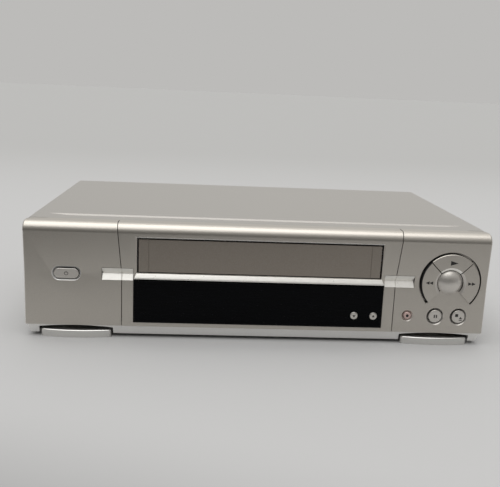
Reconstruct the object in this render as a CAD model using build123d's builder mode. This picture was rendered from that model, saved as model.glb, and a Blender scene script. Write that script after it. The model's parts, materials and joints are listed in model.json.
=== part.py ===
"""Front-loading VHS video cassette recorder, built as the separate pieces of the real machine.

Millimetres. +X is to the right seen from the front, +Y towards the rear panel, +Z up.
The origin is on the surface that the feet stand on, under the middle of the machine.
"""
from build123d import *

import math
import os

# ---------------------------------------------------------------- overall sizes
case_width = 380.0  # across the front bezel
body_depth = 232.0  # face of the bezel to the outside of the rear panel
dome_height = 3.0  # the fixed dome between the tape keys is the foremost point
socket_proud = 8.0  # the aerial sockets are the rearmost point
plinth_bottom = 2.8  # the floor to the underside of the plinth and the tray
face_bottom = 10.5  # the floor to the lower edge of the face
bezel_top = 95.6  # the floor to the flat top of the bezel
cover_top = bezel_top + 0.6  # the floor to the top of the steel cover
cassette_width = 188.0  # a full VHS cassette, which sets the opening and the carriage

total_depth = dome_height + body_depth + socket_proud
face_y = dome_height - total_depth / 2

# ---------------------------------------------------------------- bezel
bezel_wall = 2.5
crease_z = bezel_top - 41.6  # the face folds inwards along this height
crease_depth = 1.2
bezel_edge_radius = 8.0  # roll from the face to the top
bezel_flange = 16.5  # depth of the top of the bezel
bezel_return = 12.3  # depth of the bezel's end walls
bezel_end_radius = 1.5
plinth_half_top = case_width / 2 - 2.0
plinth_half_bottom = plinth_half_top - 2.0
plinth_back_top = 0.8  # how far the plinth lies behind the face
plinth_back_bottom = 3.5
plinth_gap = 0.1  # the end mouldings rest on the plinth with this clearance
plinth_lip_height = 3.0  # a lip on the plinth stands behind the end mouldings
plinth_lip_gap = 0.25
plinth_lip_wall = 1.6
opening_half = cassette_width / 2 + 6.1
seam_half_top = opening_half + 15.8  # the face is three mouldings that meet at two seams
seam_half_bottom = seam_half_top - 3.7
seam_gap = 0.6
end_width = case_width / 2 - seam_half_top  # width of each end moulding

# ---------------------------------------------------------------- cassette door and sill
opening_bottom = crease_z + 1.5
opening_top = bezel_top - 11.2
opening_chamfer = 1.1
door_half = opening_half - 1.4
door_bottom = opening_bottom + 0.8
door_top = opening_top - 1.3
door_back = 1.5  # the door lies this far behind the face
door_thickness = 2.0
door_groove_x = door_half - 8.0
door_groove_width = 0.5
door_groove_depth = 0.4
door_pivot_back = 7.0
door_pivot_z = opening_top + 2.1
door_pin_radius = 1.2
door_ear_radius = 2.2
door_ear_width = 2.0
door_ear_x = door_half - 2.5  # inner face of each ear
pin_clearance = 0.06
lug_inner_x = opening_half + 1.2
lug_width = 2.0
lug_radius = 3.4
spring_wire = 0.5
spring_turns = 4
sill_half_top = opening_half + 0.5
sill_half_bottom = sill_half_top + 1.8
sill_bottom = opening_bottom - 4.8
sill_top = opening_bottom - 0.4
sill_seat = 1.5
sill_front = -1.4  # front of the strip at its foot; negative is before the face
sill_back = 1.0  # front of the strip at its top: it leans back like a ledge

# ---------------------------------------------------------------- display window
window_half = opening_half + 2.9
window_bottom = face_bottom + 3.1
window_top = sill_bottom - 0.5
window_proud = 0.9
window_bevel = 1.3
window_seat = 2.0  # the window rests on a rim this far behind the face
trim_fit = 0.15  # gap round pieces that are pressed into the bezel

# ---------------------------------------------------------------- belt trims
belt_inner = window_half + 0.1
belt_half_height = 5.0
belt_depth = 3.6  # depth of the fold in the belt, behind the face
belt_edge_back = 0.5
belt_wall = 1.4
belt_groove = 0.7  # depth of the seam where it crosses a belt

# ---------------------------------------------------------------- controls
ring_outer = 0.332 * end_width  # the tape keys are one ring round a dome
ring_inner = 0.4472 * ring_outer
dome_radius = ring_inner - 0.8
ring_x = case_width / 2 - ring_outer - 7.2
belt_outer = ring_x - ring_outer - 5.6
key_gap = 0.6
ring_gap = 1.2  # gap between the tape keys and the face
ring_flange = ring_gap + 0.7  # outer rim of the tape keys, which overlaps the face from behind
key_front = 0.6  # the front of the tape keys stands this far before the face
key_lip = 2.2  # slope round the inner edge of the tape keys
key_travel = 1.0
key_flange = 1.2  # rim behind the face that keeps a key from falling out
key_flange_back = 4.3
key_flange_thickness = 1.0
key_stem_radius = 1.5
small_key_z = 25.0
record_x = seam_half_top + 0.1147 * end_width
record_radius = 0.0418 * end_width
pause_x = seam_half_top + 0.4345 * end_width
stop_x = seam_half_top + 0.703 * end_width
round_key_radius = 0.0756 * end_width
button_gap = 0.35
dish_width = 1.4  # sloping dish in the face round each button
button_proud = 0.6
power_length = 0.2672 * end_width
power_x = -(case_width / 2 - 0.4548 * end_width)
power_z = crease_z - 0.3
power_height = 8.2
channel_up_x = window_half - 7.6
channel_down_x = channel_up_x - 16.2
channel_z = 24.0
channel_radius = 3.2

# ---------------------------------------------------------------- case
sheet = 0.8  # steel sheet of the cover
cover_half = case_width / 2 - 1.4
cover_bottom = 5.0
cover_bend = 1.6
cover_front_back = 12.5  # front edge of the cover, behind the face
recess_half = cover_half - 12.6  # pressed-down strip along the front of the cover
recess_back = 34.5
recess_ramp = 1.4
recess_end_ramp = 14.0  # the strip rises gently to the sheet at both ends
recess_depth = 1.2
vent_count = 13
vent_pitch = 8.0
vent_width = 2.4
vent_length = 20.0
vent_z = 52.0
vent_middle_back = body_depth - 82.0
tray_clearance = 0.6  # between the cover and the tray that it drops over
tray_half = cover_half - sheet - tray_clearance
tray_front = 6.4
tray_wall = 1.6
tray_floor_top = plinth_bottom + tray_wall
tray_side_top = 17.0
panel_sheet = 1.0
panel_top = bezel_top - 0.6
panel_bottom = 3.0
screw_head_radius = 3.0
screw_head_height = 1.2
screw_radius = 1.4
screw_length = 5.0
screw_clearance = 0.15
side_screw_z = 11.0
side_screw_backs = (60.0, body_depth - 42.0)
rear_screw_x = cover_half - 12.6
rear_screw_zs = (12.0, panel_top - 11.0)

# ---------------------------------------------------------------- feet
foot_x = case_width / 2 - 0.5506 * end_width
foot_width = 0.7665 * end_width
foot_peg_shift = 0.317 * foot_width
foot_peg_radius = 2.4
foot_peg_back = 24.0
foot_height = 6.3
foot_rear = 32.0  # rear edge of a front foot, behind the face
foot_side_back = 1.5  # where the curved front of a foot meets its sides
foot_bulge = 3.0
foot_corner = 3.0
foot_gap = 1.5
foot_arch = 1.9  # rise of the arched mouth that a front foot looks out of
foot_mouth_side = 8.3  # height of that mouth at its sides
foot_edge = 0.6
foot_step_back = 12.5  # behind this a front foot lies under the tray
rear_foot_x = case_width / 2 - 40.0
rear_foot_back = body_depth - 20.0
rear_foot_radius = 9.0

# ---------------------------------------------------------------- rear
scart_xs = (-95.0, -38.0)
scart_width = 48.0
scart_height = 14.0
scart_bottom = 13.0
scart_depth = 13.0
scart_cavity = 11.0
aerial_flange = 2.0
aerial_nut_rim = 1.6  # how far a nut stands out round its socket
socket_nut_height = 0.8
socket_groove = 0.2  # undercut between a socket and its nut
aerial_zs = (30.0, 54.0)
aerial_out_radius = 4.75
aerial_in_radius = 6.0
aerial_pin_radius = 1.2
vent_rows = 2
vent_columns = 8
rear_vent_x = cover_half - 70.6
rear_vent_z = panel_top - 35.0
cord_x = 57.0  # where the mains cord leaves the rear panel
cord_z = 22.0
relief_neck_radius = 5.0
relief_length = 22.0
cord_radius = 2.5
hank_left = -38.0
hank_right = 133.0
hank_shoulders = (-9.0, 104.0)  # the loops of the hank spread beyond these
hank_back = body_depth + 93.0
plug_back = hank_back - 5.0
hank_half = 11.7
hank_fan_half = 25.3
hank_end_round = 14.0
hank_squeeze = 1.5  # how far the tie pulls the hank in
hank_height = 12.5
tie_x = 25.0
tie_width = 5.0
tie_thickness = 0.8
plug_x = -108.0  # where the cord enters the plug's boot
plug_boot = 18.0
plug_body = 34.0
plug_width = 35.3
plug_thickness = 13.7
plug_pin_radius = 2.0
plug_pin_spacing = 18.6
plug_pin_length = 19.0
plug_shoulder = 9.0  # length over which the plug widens behind its boot

# ---------------------------------------------------------------- boards
board_z = 10.0  # underside of the main board
board_thickness = 1.6
board_top = board_z + board_thickness
board_half = tray_half - 7.2
board_front = 38.0
board_rear_gap = 4.0
standoff_radius = 3.0
standoff_x = board_half - 8.0
standoff_backs = (48.0, body_depth - 27.0)
chip_height = 2.6
chips = (
    (-60.0, 60.0, 28.0, 10.0),
    (-10.0, 90.0, 14.0, 14.0),
    (-70.0, 110.0, 18.0, 18.0),
    (10.0, 130.0, 30.0, 9.0),
    (-50.0, 170.0, 24.0, 9.0),
    (60.0, 80.0, 12.0, 24.0),
)
front_board_back = 11.5
front_board_thickness = 1.6
front_board_half = case_width / 2 - 7.0
front_board_bottom = face_bottom + 3.0
front_board_top = crease_z - 4.5
front_wing_inner = belt_outer  # the board rises behind the keys at both ends
front_wing_top_left = crease_z + 12.0
front_wing_top_right = bezel_top - 12.6
board_post_radius = 2.2
board_post_x = window_half + 5.0
board_post_zs = (front_board_bottom + 3.5, front_board_top - 5.5)
end_post_x = front_board_half - 2.0
left_post_places = (
    (-end_post_x, front_board_bottom + 6.5),
    (-end_post_x, front_wing_top_left - 4.0),
    (-seam_half_top - 6.1, front_board_bottom + 6.5),
)
right_post_places = (
    (end_post_x, front_board_bottom + 3.5),
    (end_post_x, front_wing_top_right - 3.0),
    (seam_half_top + 0.244 * end_width, front_wing_top_right - 4.0),
)
switch_side = 6.0
switch_height = 3.4
switch_gap = 0.2  # left between a fully pressed stem and its switch
display_x = 12.0
display_width = 96.0
display_height = 22.0
display_z = 33.0
display_thickness = 6.0

# ---------------------------------------------------------------- deck
deck_z = 30.0  # underside of the deck plate
deck_sheet = 1.2
holder_inner = cassette_width / 2 + 0.6
slider_plate_x = holder_inner + 3.0
carriage_plate_x = slider_plate_x + 2.9  # inner face of the carriage side plates
deck_half = carriage_plate_x + 14.5
deck_front = 16.0
deck_rear = body_depth - 8.0
pillar_radius = 4.5
pillar_clearance = 0.6
pillar_x = deck_half - 6.0
pillar_backs = (48.0, deck_rear - 18.0)
carriage_sheet = 1.2
carriage_front = 14.0
carriage_rear = 148.0
carriage_top = cover_top - 8.2
bridge_front = 102.0
bridge_rear = 146.0
carriage_travel = 62.0
drop_travel = 19.0
slider_front = 40.0
slider_rear = 82.0
slider_bottom = 42.0
slider_top = carriage_top - 8.0
slider_pin_backs = (48.0, 74.0)
slider_pin_z = carriage_top - 12.0
slider_bar_z = carriage_top - 3.8
guide_pin_radius = 1.5
guide_pin_clearance = 0.15
holder_sheet = 0.8
holder_floor = opening_bottom  # level with the door sill
holder_ledge = 16.0
holder_front = 17.0
holder_ceiling = carriage_top - 6.2
holder_pin_backs = (52.0, 70.0)
holder_pin_z = holder_floor + 10.5
reel_x = 46.0
reel_back = 80.0
reel_radius = 24.0
reel_hub_radius = 8.0
reel_base_z = 32.2
reel_disc = 3.2
reel_top = 45.5
spindle_radius = 2.0
running_gap = 0.05
drum_back = body_depth - 45.0
drum_radius = 31.0
drum_tilt = 5.9
drum_lower_base = 5.0
drum_lower_height = 19.0
drum_gap = 0.4
drum_upper_height = 16.0
drum_rotor_radius = 21.0
drum_rotor_height = 5.0
drum_shaft_radius = 3.0
drum_rim = 3.0
drum_rim_height = 1.5
head_window = 3.2
head_chip = 1.6
capstan_x = 62.0
capstan_back = drum_back - 27.0
capstan_radius = 1.5
capstan_top = 60.0
flywheel_radius = 22.0
flywheel_z = 18.0
flywheel_height = 6.0
capstan_pulley_radius = 7.0
capstan_sleeve_top = 38.0
pulley_height = 3.0
belt_low = 24.0  # underside of the capstan belt's pulleys
clutch_back = 51.0
clutch_radius = 10.5
idler_radius = 12.0
wheel_gap = 0.3  # left between friction wheels
clutch_pulley_radius = 12.0
belt_thickness = 1.2
belt_width = 2.4
belt_gap = 0.1  # keeps a belt off its pulleys
pinch_pivot_x = 92.0
pinch_pivot_back = capstan_back - 8.0
pinch_arm_z = 33.0
pinch_roller_x = capstan_x  # the roller's place when it meets the capstan
pinch_roller_z = 41.0
pinch_roller_radius = 7.0
pinch_contact_gap = 0.3
audio_head_at = (60.0, capstan_back + 18.0)  # audio and control head beside the capstan
erase_head_at = (-67.0, capstan_back + 8.0)  # full erase head
head_half = 4.5
head_foot = 2.0
head_bottom = 7.0
head_top = 25.0
head_post_radius = 2.2
head_core_half = 3.0
guide_start = (30.0, drum_back - 38.0)  # sideways, and behind the face
guide_end = (45.0, drum_back + 5.0)
guide_top = 58.0
guide_boat_radius = 5.0
tension_x = -70.0
tension_back = drum_back - 75.0
tension_post_x = -40.0
tension_post_back = drum_back - 41.0
cam_x = -84.0
cam_back = drum_back + 9.0
cam_radius = 20.0
cam_z = 33.0
cam_height = 3.5
motor_back = drum_back + 25.0
motor_x = -56.0
motor_radius = 9.0
motor_height = 20.0
motor_pulley_radius = 3.5
loading_pulley_radius = 11.0
loading_belt_z = 52.4

# ---------------------------------------------------------------- power supply and tuner, beside the deck
bay = board_half - deck_half  # width left beside the deck
bay_middle = (board_half + deck_half) / 2
transformer_x = bay_middle + 0.5
transformer_back = body_depth - 42.0
core_half_width = 0.4154 * bay
core_half_depth = 11.0
core_height = 45.0
core_foot = 1.2  # thickness of the mounting foot under the core
winding_half_width = 0.277 * bay
winding_half_depth = 19.0
winding_bottom = 7.0
winding_top = 39.0
heat_sink_x = bay_middle + 2.5
heat_sink_back = body_depth - 104.0
heat_sink_half = 0.3692 * bay
heat_sink_height = 42.0
heat_sink_plate = 3.0
fin_count = 9
fin_depth = 14.0
fin_thickness = 1.4
transistor_shift = 0.1692 * bay
transistor_half = 5.0
transistor_depth = 4.5
transistor_bottom = 8.0
transistor_top = 24.0
capacitors = (
    (bay_middle + 0.038 * bay, heat_sink_back - 28.0, 9.0, 32.0),
    (bay_middle + 0.3615 * bay, heat_sink_back - 36.0, 6.5, 24.0),
    (bay_middle + 0.3615 * bay, heat_sink_back - 18.0, 6.5, 24.0),
    (bay_middle - 0.2385 * bay, heat_sink_back - 32.0, 5.0, 18.0),
    (bay_middle - 0.2385 * bay, heat_sink_back - 18.0, 5.0, 18.0),
    (0.269 * bay - bay_middle, heat_sink_back + 22.0, 4.0, 11.0),
    (0.085 * bay - bay_middle, heat_sink_back + 24.0, 4.0, 11.0),
    (-0.315 * bay - bay_middle, heat_sink_back + 30.0, 5.0, 16.0),
)
bay_chips = (
    (-bay_middle, heat_sink_back - 8.0, 0.31 * bay, 20.0),
    (-bay_middle, heat_sink_back - 38.0, 0.4 * bay, 9.0),
)
aerial_x = -bay_middle - 2.5
tuner_half = 0.3692 * bay
tuner_depth = 39.0
tuner_height = 56.0
tuner_lid_inset = 4.0
tuner_lid_proud = 0.6
trimmer_radius = 1.6
trimmer_pitch = 10.0

os.makedirs("parts", exist_ok=True)


def back(distance):
    """The Y of a point this far behind the face of the bezel."""
    return face_y + distance


def face_plane(distance=0.0):
    """A plane parallel to the face, looked at from the front: x to the right, y up.

    A negative extrusion goes towards the rear of the machine.
    """
    return Plane.XZ.offset(-back(distance))


def block(xs, ys, zs, mode=Mode.ADD):
    """A box between two corners, given as a pair of limits for each axis."""
    middle = ((xs[0] + xs[1]) / 2, (ys[0] + ys[1]) / 2, (zs[0] + zs[1]) / 2)
    with Locations(middle):
        Box(abs(xs[1] - xs[0]), abs(ys[1] - ys[0]), abs(zs[1] - zs[0]), mode=mode)


def column(at, radius, bottom, top, mode=Mode.ADD):
    """A round column along Z over the point `at` of the floor plan."""
    with Locations((at[0], at[1], bottom)):
        Cylinder(radius, top - bottom, align=(Align.CENTER, Align.CENTER, Align.MIN), mode=mode)


def rod_y(x, z, radius, start, end, mode=Mode.ADD):
    """A round rod along Y, from `start` to `end` behind the face."""
    with BuildSketch(face_plane(start)) as section:
        with Locations((x, z)):
            Circle(radius)
    extrude(section.sketch, amount=start - end, mode=mode)


def rod_x(y, z, radius, start, end, mode=Mode.ADD):
    """A round rod along X."""
    with BuildSketch(Plane.YZ.offset(start)) as section:
        with Locations((y, z)):
            Circle(radius)
    extrude(section.sketch, amount=end - start, mode=mode)


def profile_x(points, start, end, mode=Mode.ADD):
    """A side outline, of points (behind the face, z), extruded along X."""
    with BuildSketch(Plane.YZ.offset(start)) as section:
        Polygon(*[(back(depth), z) for depth, z in points], align=None)
    extrude(section.sketch, amount=end - start, mode=mode)


def profile_y(points, start, end, mode=Mode.ADD):
    """A front outline, of points (x, z), extruded between two distances behind the face."""
    with BuildSketch(face_plane(start)) as section:
        Polygon(*points, align=None)
    extrude(section.sketch, amount=start - end, mode=mode)


def profile_z(points, bottom, top, mode=Mode.ADD):
    """A floor plan, of points (x, behind the face), extruded along Z."""
    with BuildSketch(Plane.XY.offset(bottom)) as section:
        Polygon(*[(x, back(depth)) for x, depth in points], align=None)
    extrude(section.sketch, amount=top - bottom, mode=mode)


def face_depth(z):
    """How far the folded face lies behind its foremost line at a height."""
    roll_z = bezel_top - bezel_edge_radius
    if z < crease_z:
        return crease_depth * (z - face_bottom) / (crease_z - face_bottom)
    return crease_depth * (roll_z - z) / (roll_z - crease_z)


def face_outline(inset, rear, bottom):
    """The side outline of the face and the roll to the top, as far back as `rear`."""
    roll_z = bezel_top - bezel_edge_radius
    with BuildSketch(Plane.YZ.offset(-case_width / 2 + inset)) as section:
        with BuildLine():
            Polyline(
                (back(rear), bezel_top - inset),
                (back(rear), bottom),
                (back(inset + face_depth(bottom)), bottom),
                (back(crease_depth + inset), crease_z),
                (back(inset), roll_z),
            )
            ThreePointArc(
                (back(inset), roll_z),
                (
                    back(bezel_edge_radius - (bezel_edge_radius - inset) * math.sqrt(0.5)),
                    roll_z + (bezel_edge_radius - inset) * math.sqrt(0.5),
                ),
                (back(bezel_edge_radius), bezel_top - inset),
            )
            Line((back(bezel_edge_radius), bezel_top - inset), (back(rear), bezel_top - inset))
        make_face()
    return section.sketch


def save(piece, name):
    """Labels a finished piece and writes it to its own STEP file."""
    piece.part.label = name
    export_step(piece.part, f"parts/{name}.step")


# ================================================================ front mouldings
# One shell is shaped first, then the seams part it into three mouldings.
with BuildPart() as bezel_shell:
    extrude(face_outline(0, bezel_return, face_bottom), amount=case_width)
    ends = bezel_shell.edges().filter_by(
        lambda edge: abs(abs(edge.center().X) - case_width / 2) < 0.01
        and (edge.center().Y < back(bezel_edge_radius) or edge.center().Z > bezel_top - 0.01)
        and edge.center().Z > face_bottom + 0.01
    )
    fillet(ends, radius=bezel_end_radius)
    extrude(
        face_outline(bezel_wall, bezel_return + 1, face_bottom - 1),
        amount=case_width - 2 * bezel_wall,
        mode=Mode.SUBTRACT,
    )
    flange_half = case_width / 2 - bezel_wall - 0.1
    block(
        (-flange_half, flange_half),
        (back(bezel_return) - 0.5, back(bezel_flange)),
        (bezel_top - bezel_wall, bezel_top),
    )
    # The backing rim that the display window is pressed against.
    rim_inner, rim_outer = window_half - 2.0, window_half + 2.0
    block(
        (-rim_outer, rim_outer),
        (back(1.5), back(window_seat + 2.0)),
        (window_bottom - 2.0, window_top + 1.5),
    )

with BuildPart() as plinth_shell:
    profile_y(
        [
            (-plinth_half_top, face_bottom),
            (-plinth_half_bottom, plinth_bottom),
            (plinth_half_bottom, plinth_bottom),
            (plinth_half_top, face_bottom),
        ],
        0,
        bezel_return,
    )
    profile_x(
        [
            (plinth_back_top, face_bottom),
            (plinth_back_bottom, plinth_bottom),
            (bezel_return, plinth_bottom),
            (bezel_return, face_bottom),
        ],
        -case_width / 2,
        case_width / 2,
        mode=Mode.INTERSECT,
    )
    plinth_inner = plinth_half_bottom - bezel_wall
    profile_x(
        [
            (plinth_back_top + bezel_wall, face_bottom + 1),
            (plinth_back_bottom + bezel_wall, plinth_bottom - 1),
            (bezel_return + 1, plinth_bottom - 1),
            (bezel_return + 1, face_bottom + 1),
        ],
        -plinth_inner,
        plinth_inner,
        mode=Mode.SUBTRACT,
    )
    # Lips behind the end mouldings.
    lip_back = bezel_wall + plinth_lip_gap
    lip_heights = (face_bottom - 1.2, face_bottom + plinth_lip_height)
    for side in (-1, 1):
        lip = sorted((side * (seam_half_bottom - 4), side * (case_width / 2 - bezel_wall - plinth_lip_gap)))
        block(lip, (back(lip_back), back(lip_back + plinth_lip_wall)), lip_heights)
        root = sorted((side * (seam_half_bottom - 4), side * (seam_half_bottom - 1)))
        block(root, (back(bezel_wall - 0.5), back(lip_back + 0.5)), lip_heights)
    # Arched mouths for the front feet.
    for side in (-1, 1):
        mouth_half = foot_width / 2 + foot_gap
        with BuildSketch(face_plane(-1)) as mouth:
            with BuildLine():
                Polyline(
                    (side * foot_x + mouth_half, foot_mouth_side),
                    (side * foot_x + mouth_half, plinth_bottom - 1),
                    (side * foot_x - mouth_half, plinth_bottom - 1),
                    (side * foot_x - mouth_half, foot_mouth_side),
                )
                ThreePointArc(
                    (side * foot_x - mouth_half, foot_mouth_side),
                    (side * foot_x, foot_mouth_side + foot_arch),
                    (side * foot_x + mouth_half, foot_mouth_side),
                )
            make_face()
        extrude(mouth.sketch, amount=-8, mode=Mode.SUBTRACT)

belt_pocket = trim_fit + 0.05
with BuildPart() as front_shell:
    add(bezel_shell.part)
    for side in (-1, 1):
        limits = sorted((side * (belt_inner - belt_pocket), side * (belt_outer + belt_pocket)))
        profile_x(
            [
                (-1, crease_z - belt_half_height - belt_pocket),
                (belt_edge_back + belt_wall, crease_z - belt_half_height - belt_pocket),
                (belt_depth + belt_wall, crease_z),
                (belt_edge_back + belt_wall, crease_z + belt_half_height + belt_pocket),
                (-1, crease_z + belt_half_height + belt_pocket),
            ],
            limits[0],
            limits[1],
            mode=Mode.SUBTRACT,
        )


def side_region(inner_top, inner_bottom, outer, low=0.0):
    """Front outline of everything outside a seam and over a height, for one side of the face."""
    return [
        (inner_top, bezel_top + 1),
        (inner_bottom, crease_z),
        (inner_bottom, low),
        (outer, low),
        (outer, bezel_top + 1),
    ]


seam_top_x = seam_half_top + seam_gap / 2
seam_bottom_x = seam_half_bottom + seam_gap / 2
beyond = case_width / 2 + 5

with BuildPart() as bezel_center:
    add(front_shell.part)
    for side in (-1, 1):
        region = side_region(
            side * (seam_top_x - seam_gap), side * (seam_bottom_x - seam_gap), side * beyond
        )
        profile_y(region, -10, bezel_flange + 5, mode=Mode.SUBTRACT)
    # The plinth runs under the end mouldings in one piece with the centre.
    add(plinth_shell.part)
    # Slot for the cassette, with a bevelled edge.
    bevel_start = -1.0
    bevel_end = face_depth(opening_top) + opening_chamfer
    reach = bevel_end - bevel_start
    with BuildSketch(face_plane(bevel_start)) as mouth:
        with Locations((0, (opening_bottom + opening_top) / 2)):
            Rectangle(2 * (opening_half + reach), opening_top - opening_bottom + 2 * reach)
    extrude(mouth.sketch, amount=-reach, taper=45, mode=Mode.SUBTRACT)
    block(
        (-opening_half, opening_half),
        (back(-1), back(bezel_wall + 3)),
        (opening_bottom, opening_top),
        mode=Mode.SUBTRACT,
    )
    # Pocket and through hole for the display window.
    block(
        (-window_half, window_half),
        (back(-1), back(window_seat)),
        (window_bottom, window_top),
        mode=Mode.SUBTRACT,
    )
    block(
        (-rim_inner, rim_inner),
        (back(-1), back(window_seat + 3)),
        (window_bottom + 2.0, window_top - 2.0),
        mode=Mode.SUBTRACT,
    )
    # Seat of the sill strip.
    profile_y(
        [
            (-sill_half_bottom - trim_fit, sill_bottom - 0.1),
            (sill_half_bottom + trim_fit, sill_bottom - 0.1),
            (sill_half_top + trim_fit, sill_top),
            (-sill_half_top - trim_fit, sill_top),
        ],
        -1,
        sill_seat,
        mode=Mode.SUBTRACT,
    )
    # Lugs that carry the pins of the cassette door, posts for the front board, and tongues on the tray.
    for side in (-1, 1):
        limits = sorted((side * lug_inner_x, side * (lug_inner_x + lug_width)))
        profile_x(
            [
                (bezel_wall - 0.5, door_pivot_z - lug_radius),
                (door_pivot_back, door_pivot_z - lug_radius),
                (door_pivot_back, door_pivot_z + lug_radius),
                (bezel_wall - 0.5, door_pivot_z + lug_radius),
            ],
            limits[0],
            limits[1],
        )
        rod_x(back(door_pivot_back), door_pivot_z, lug_radius, limits[0], limits[1])
        rod_x(
            back(door_pivot_back),
            door_pivot_z,
            door_pin_radius + pin_clearance,
            limits[0],
            limits[1],
            mode=Mode.SUBTRACT,
        )
        for z in board_post_zs:
            rod_y(side * board_post_x, z, board_post_radius, 2.0, front_board_back)
        tongue = sorted((side * 40, side * 70))
        block(tongue, (back(3.5), back(tray_front + 6)), (tray_floor_top, tray_floor_top + 2))
save(bezel_center, "bezel_center")

with BuildPart() as bezel_left:
    add(front_shell.part)
    region = side_region(-seam_top_x, -seam_bottom_x, -beyond, face_bottom + plinth_gap)
    profile_y(region, -10, bezel_flange + 5, mode=Mode.INTERSECT)
    # Pill-shaped dish and hole for the power button.
    depth = face_depth(power_z)
    with BuildSketch(face_plane(depth - 0.5)) as dish:
        with Locations((power_x, power_z)):
            SlotOverall(
                power_length + 2 * (button_gap + dish_width + 0.5),
                power_height + 2 * (button_gap + dish_width + 0.5),
            )
    extrude(dish.sketch, amount=-1.8, taper=45, mode=Mode.SUBTRACT)
    with BuildSketch(face_plane(-2)) as hole:
        with Locations((power_x, power_z)):
            SlotOverall(power_length + 2 * button_gap, power_height + 2 * button_gap)
    extrude(hole.sketch, amount=-10, mode=Mode.SUBTRACT)
    for x, z in left_post_places:
        rod_y(x, z, board_post_radius, 2.0, front_board_back)
    tongue_x = case_width / 2 - bezel_wall + 0.1
    block((-tongue_x, -tongue_x + 4), (back(8), back(24)), (tray_side_top, tray_side_top + 2))
save(bezel_left, "bezel_left")


def ring_sector(facing, half_angle, gap):
    """Front outline of a slice of the key ring, set back from both dividing lines by a gap."""
    apex_shift = gap / math.sin(math.radians(half_angle))
    towards = math.radians(facing)
    apex = (ring_x + apex_shift * math.cos(towards), crease_z + apex_shift * math.sin(towards))
    reach = 2 * ring_outer
    outline = [apex]
    for angle in (facing - half_angle, facing, facing + half_angle):
        turn = math.radians(angle)
        outline.append((apex[0] + reach * math.cos(turn), apex[1] + reach * math.sin(turn)))
    return outline


def round_dish(x, z, radius):
    """Cuts a round button's hole and the sloping dish round it into the piece being made."""
    depth = face_depth(z)
    with BuildSketch(face_plane(depth - 0.5)) as dish:
        with Locations((x, z)):
            Circle(radius + button_gap + dish_width + 0.5)
    extrude(dish.sketch, amount=-1.8, taper=45, mode=Mode.SUBTRACT)
    rod_y(x, z, radius + button_gap, -2, 8, mode=Mode.SUBTRACT)


with BuildPart() as ring_opening:
    rod_y(ring_x, crease_z, ring_outer + ring_gap, -5, 8)
    rod_y(ring_x, crease_z, ring_inner - key_gap, -6, 9, mode=Mode.SUBTRACT)
    profile_y(ring_sector(-90, 45, -key_gap / 2), -6, 9, mode=Mode.SUBTRACT)

with BuildPart() as dome:
    dome_height_over_crease = dome_height + crease_depth
    dome_sphere = (dome_radius**2 + dome_height_over_crease**2) / (2 * dome_height_over_crease)
    with Locations((ring_x, back(dome_sphere - dome_height), crease_z)):
        Sphere(dome_sphere)
    rod_y(ring_x, crease_z, dome_radius, -dome_height - 1, crease_depth + 1, mode=Mode.INTERSECT)

with BuildPart() as bezel_right:
    add(front_shell.part)
    region = side_region(seam_top_x, seam_bottom_x, beyond, face_bottom + plinth_gap)
    profile_y(region, -10, bezel_flange + 5, mode=Mode.INTERSECT)
    add(ring_opening.part, mode=Mode.SUBTRACT)
    add(dome.part)
    round_dish(record_x, small_key_z, record_radius)
    round_dish(pause_x, small_key_z, round_key_radius)
    round_dish(stop_x, small_key_z, round_key_radius)
    for x, z in right_post_places:
        rod_y(x, z, board_post_radius, 2.0, front_board_back)
    block((tongue_x - 4, tongue_x), (back(8), back(24)), (tray_side_top, tray_side_top + 2))
save(bezel_right, "bezel_right")

# ================================================================ trims and window
with BuildPart() as belt_seams:
    for side in (-1, 1):
        profile_y(
            [
                (side * (seam_top_x - seam_gap), bezel_top + 1),
                (side * (seam_bottom_x - seam_gap), crease_z),
                (side * (seam_bottom_x - seam_gap), 0),
                (side * seam_bottom_x, 0),
                (side * seam_bottom_x, crease_z),
                (side * seam_top_x, bezel_top + 1),
            ],
            -1,
            belt_depth + belt_wall,
        )
    profile_x(
        [
            (-0.5, crease_z - belt_half_height - 0.5),
            (belt_edge_back + belt_groove, crease_z - belt_half_height - 0.5),
            (belt_edge_back + belt_groove, crease_z - belt_half_height),
            (belt_depth + belt_groove, crease_z),
            (belt_edge_back + belt_groove, crease_z + belt_half_height),
            (belt_edge_back + belt_groove, crease_z + belt_half_height + 0.5),
            (-0.5, crease_z + belt_half_height + 0.5),
        ],
        -case_width / 2,
        case_width / 2,
        mode=Mode.INTERSECT,
    )

with BuildPart() as belt_trims:
    for side in (-1, 1):
        limits = sorted((side * belt_inner, side * belt_outer))
        profile_x(
            [
                (belt_edge_back, crease_z - belt_half_height),
                (belt_edge_back + belt_wall - 0.1, crease_z - belt_half_height),
                (belt_depth + belt_wall - 0.1, crease_z),
                (belt_edge_back + belt_wall - 0.1, crease_z + belt_half_height),
                (belt_edge_back, crease_z + belt_half_height),
                (belt_depth, crease_z),
            ],
            limits[0],
            limits[1],
        )
    add(belt_seams.part, mode=Mode.SUBTRACT)
save(belt_trims, "belt_trims")

with BuildPart() as sill_strip:
    profile_x(
        [
            (sill_seat - 0.05, sill_bottom),
            (sill_front + 0.2, sill_bottom),
            (sill_front, sill_bottom + 0.3),
            (sill_back, sill_top - 0.1),
            (sill_seat - 0.05, sill_top - 0.1),
        ],
        -sill_half_bottom,
        sill_half_bottom,
    )
    profile_y(
        [
            (-sill_half_bottom, sill_bottom),
            (sill_half_bottom, sill_bottom),
            (sill_half_top, sill_top),
            (-sill_half_top, sill_top),
        ],
        -1,
        3,
        mode=Mode.INTERSECT,
    )
save(sill_strip, "sill_strip")

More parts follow.
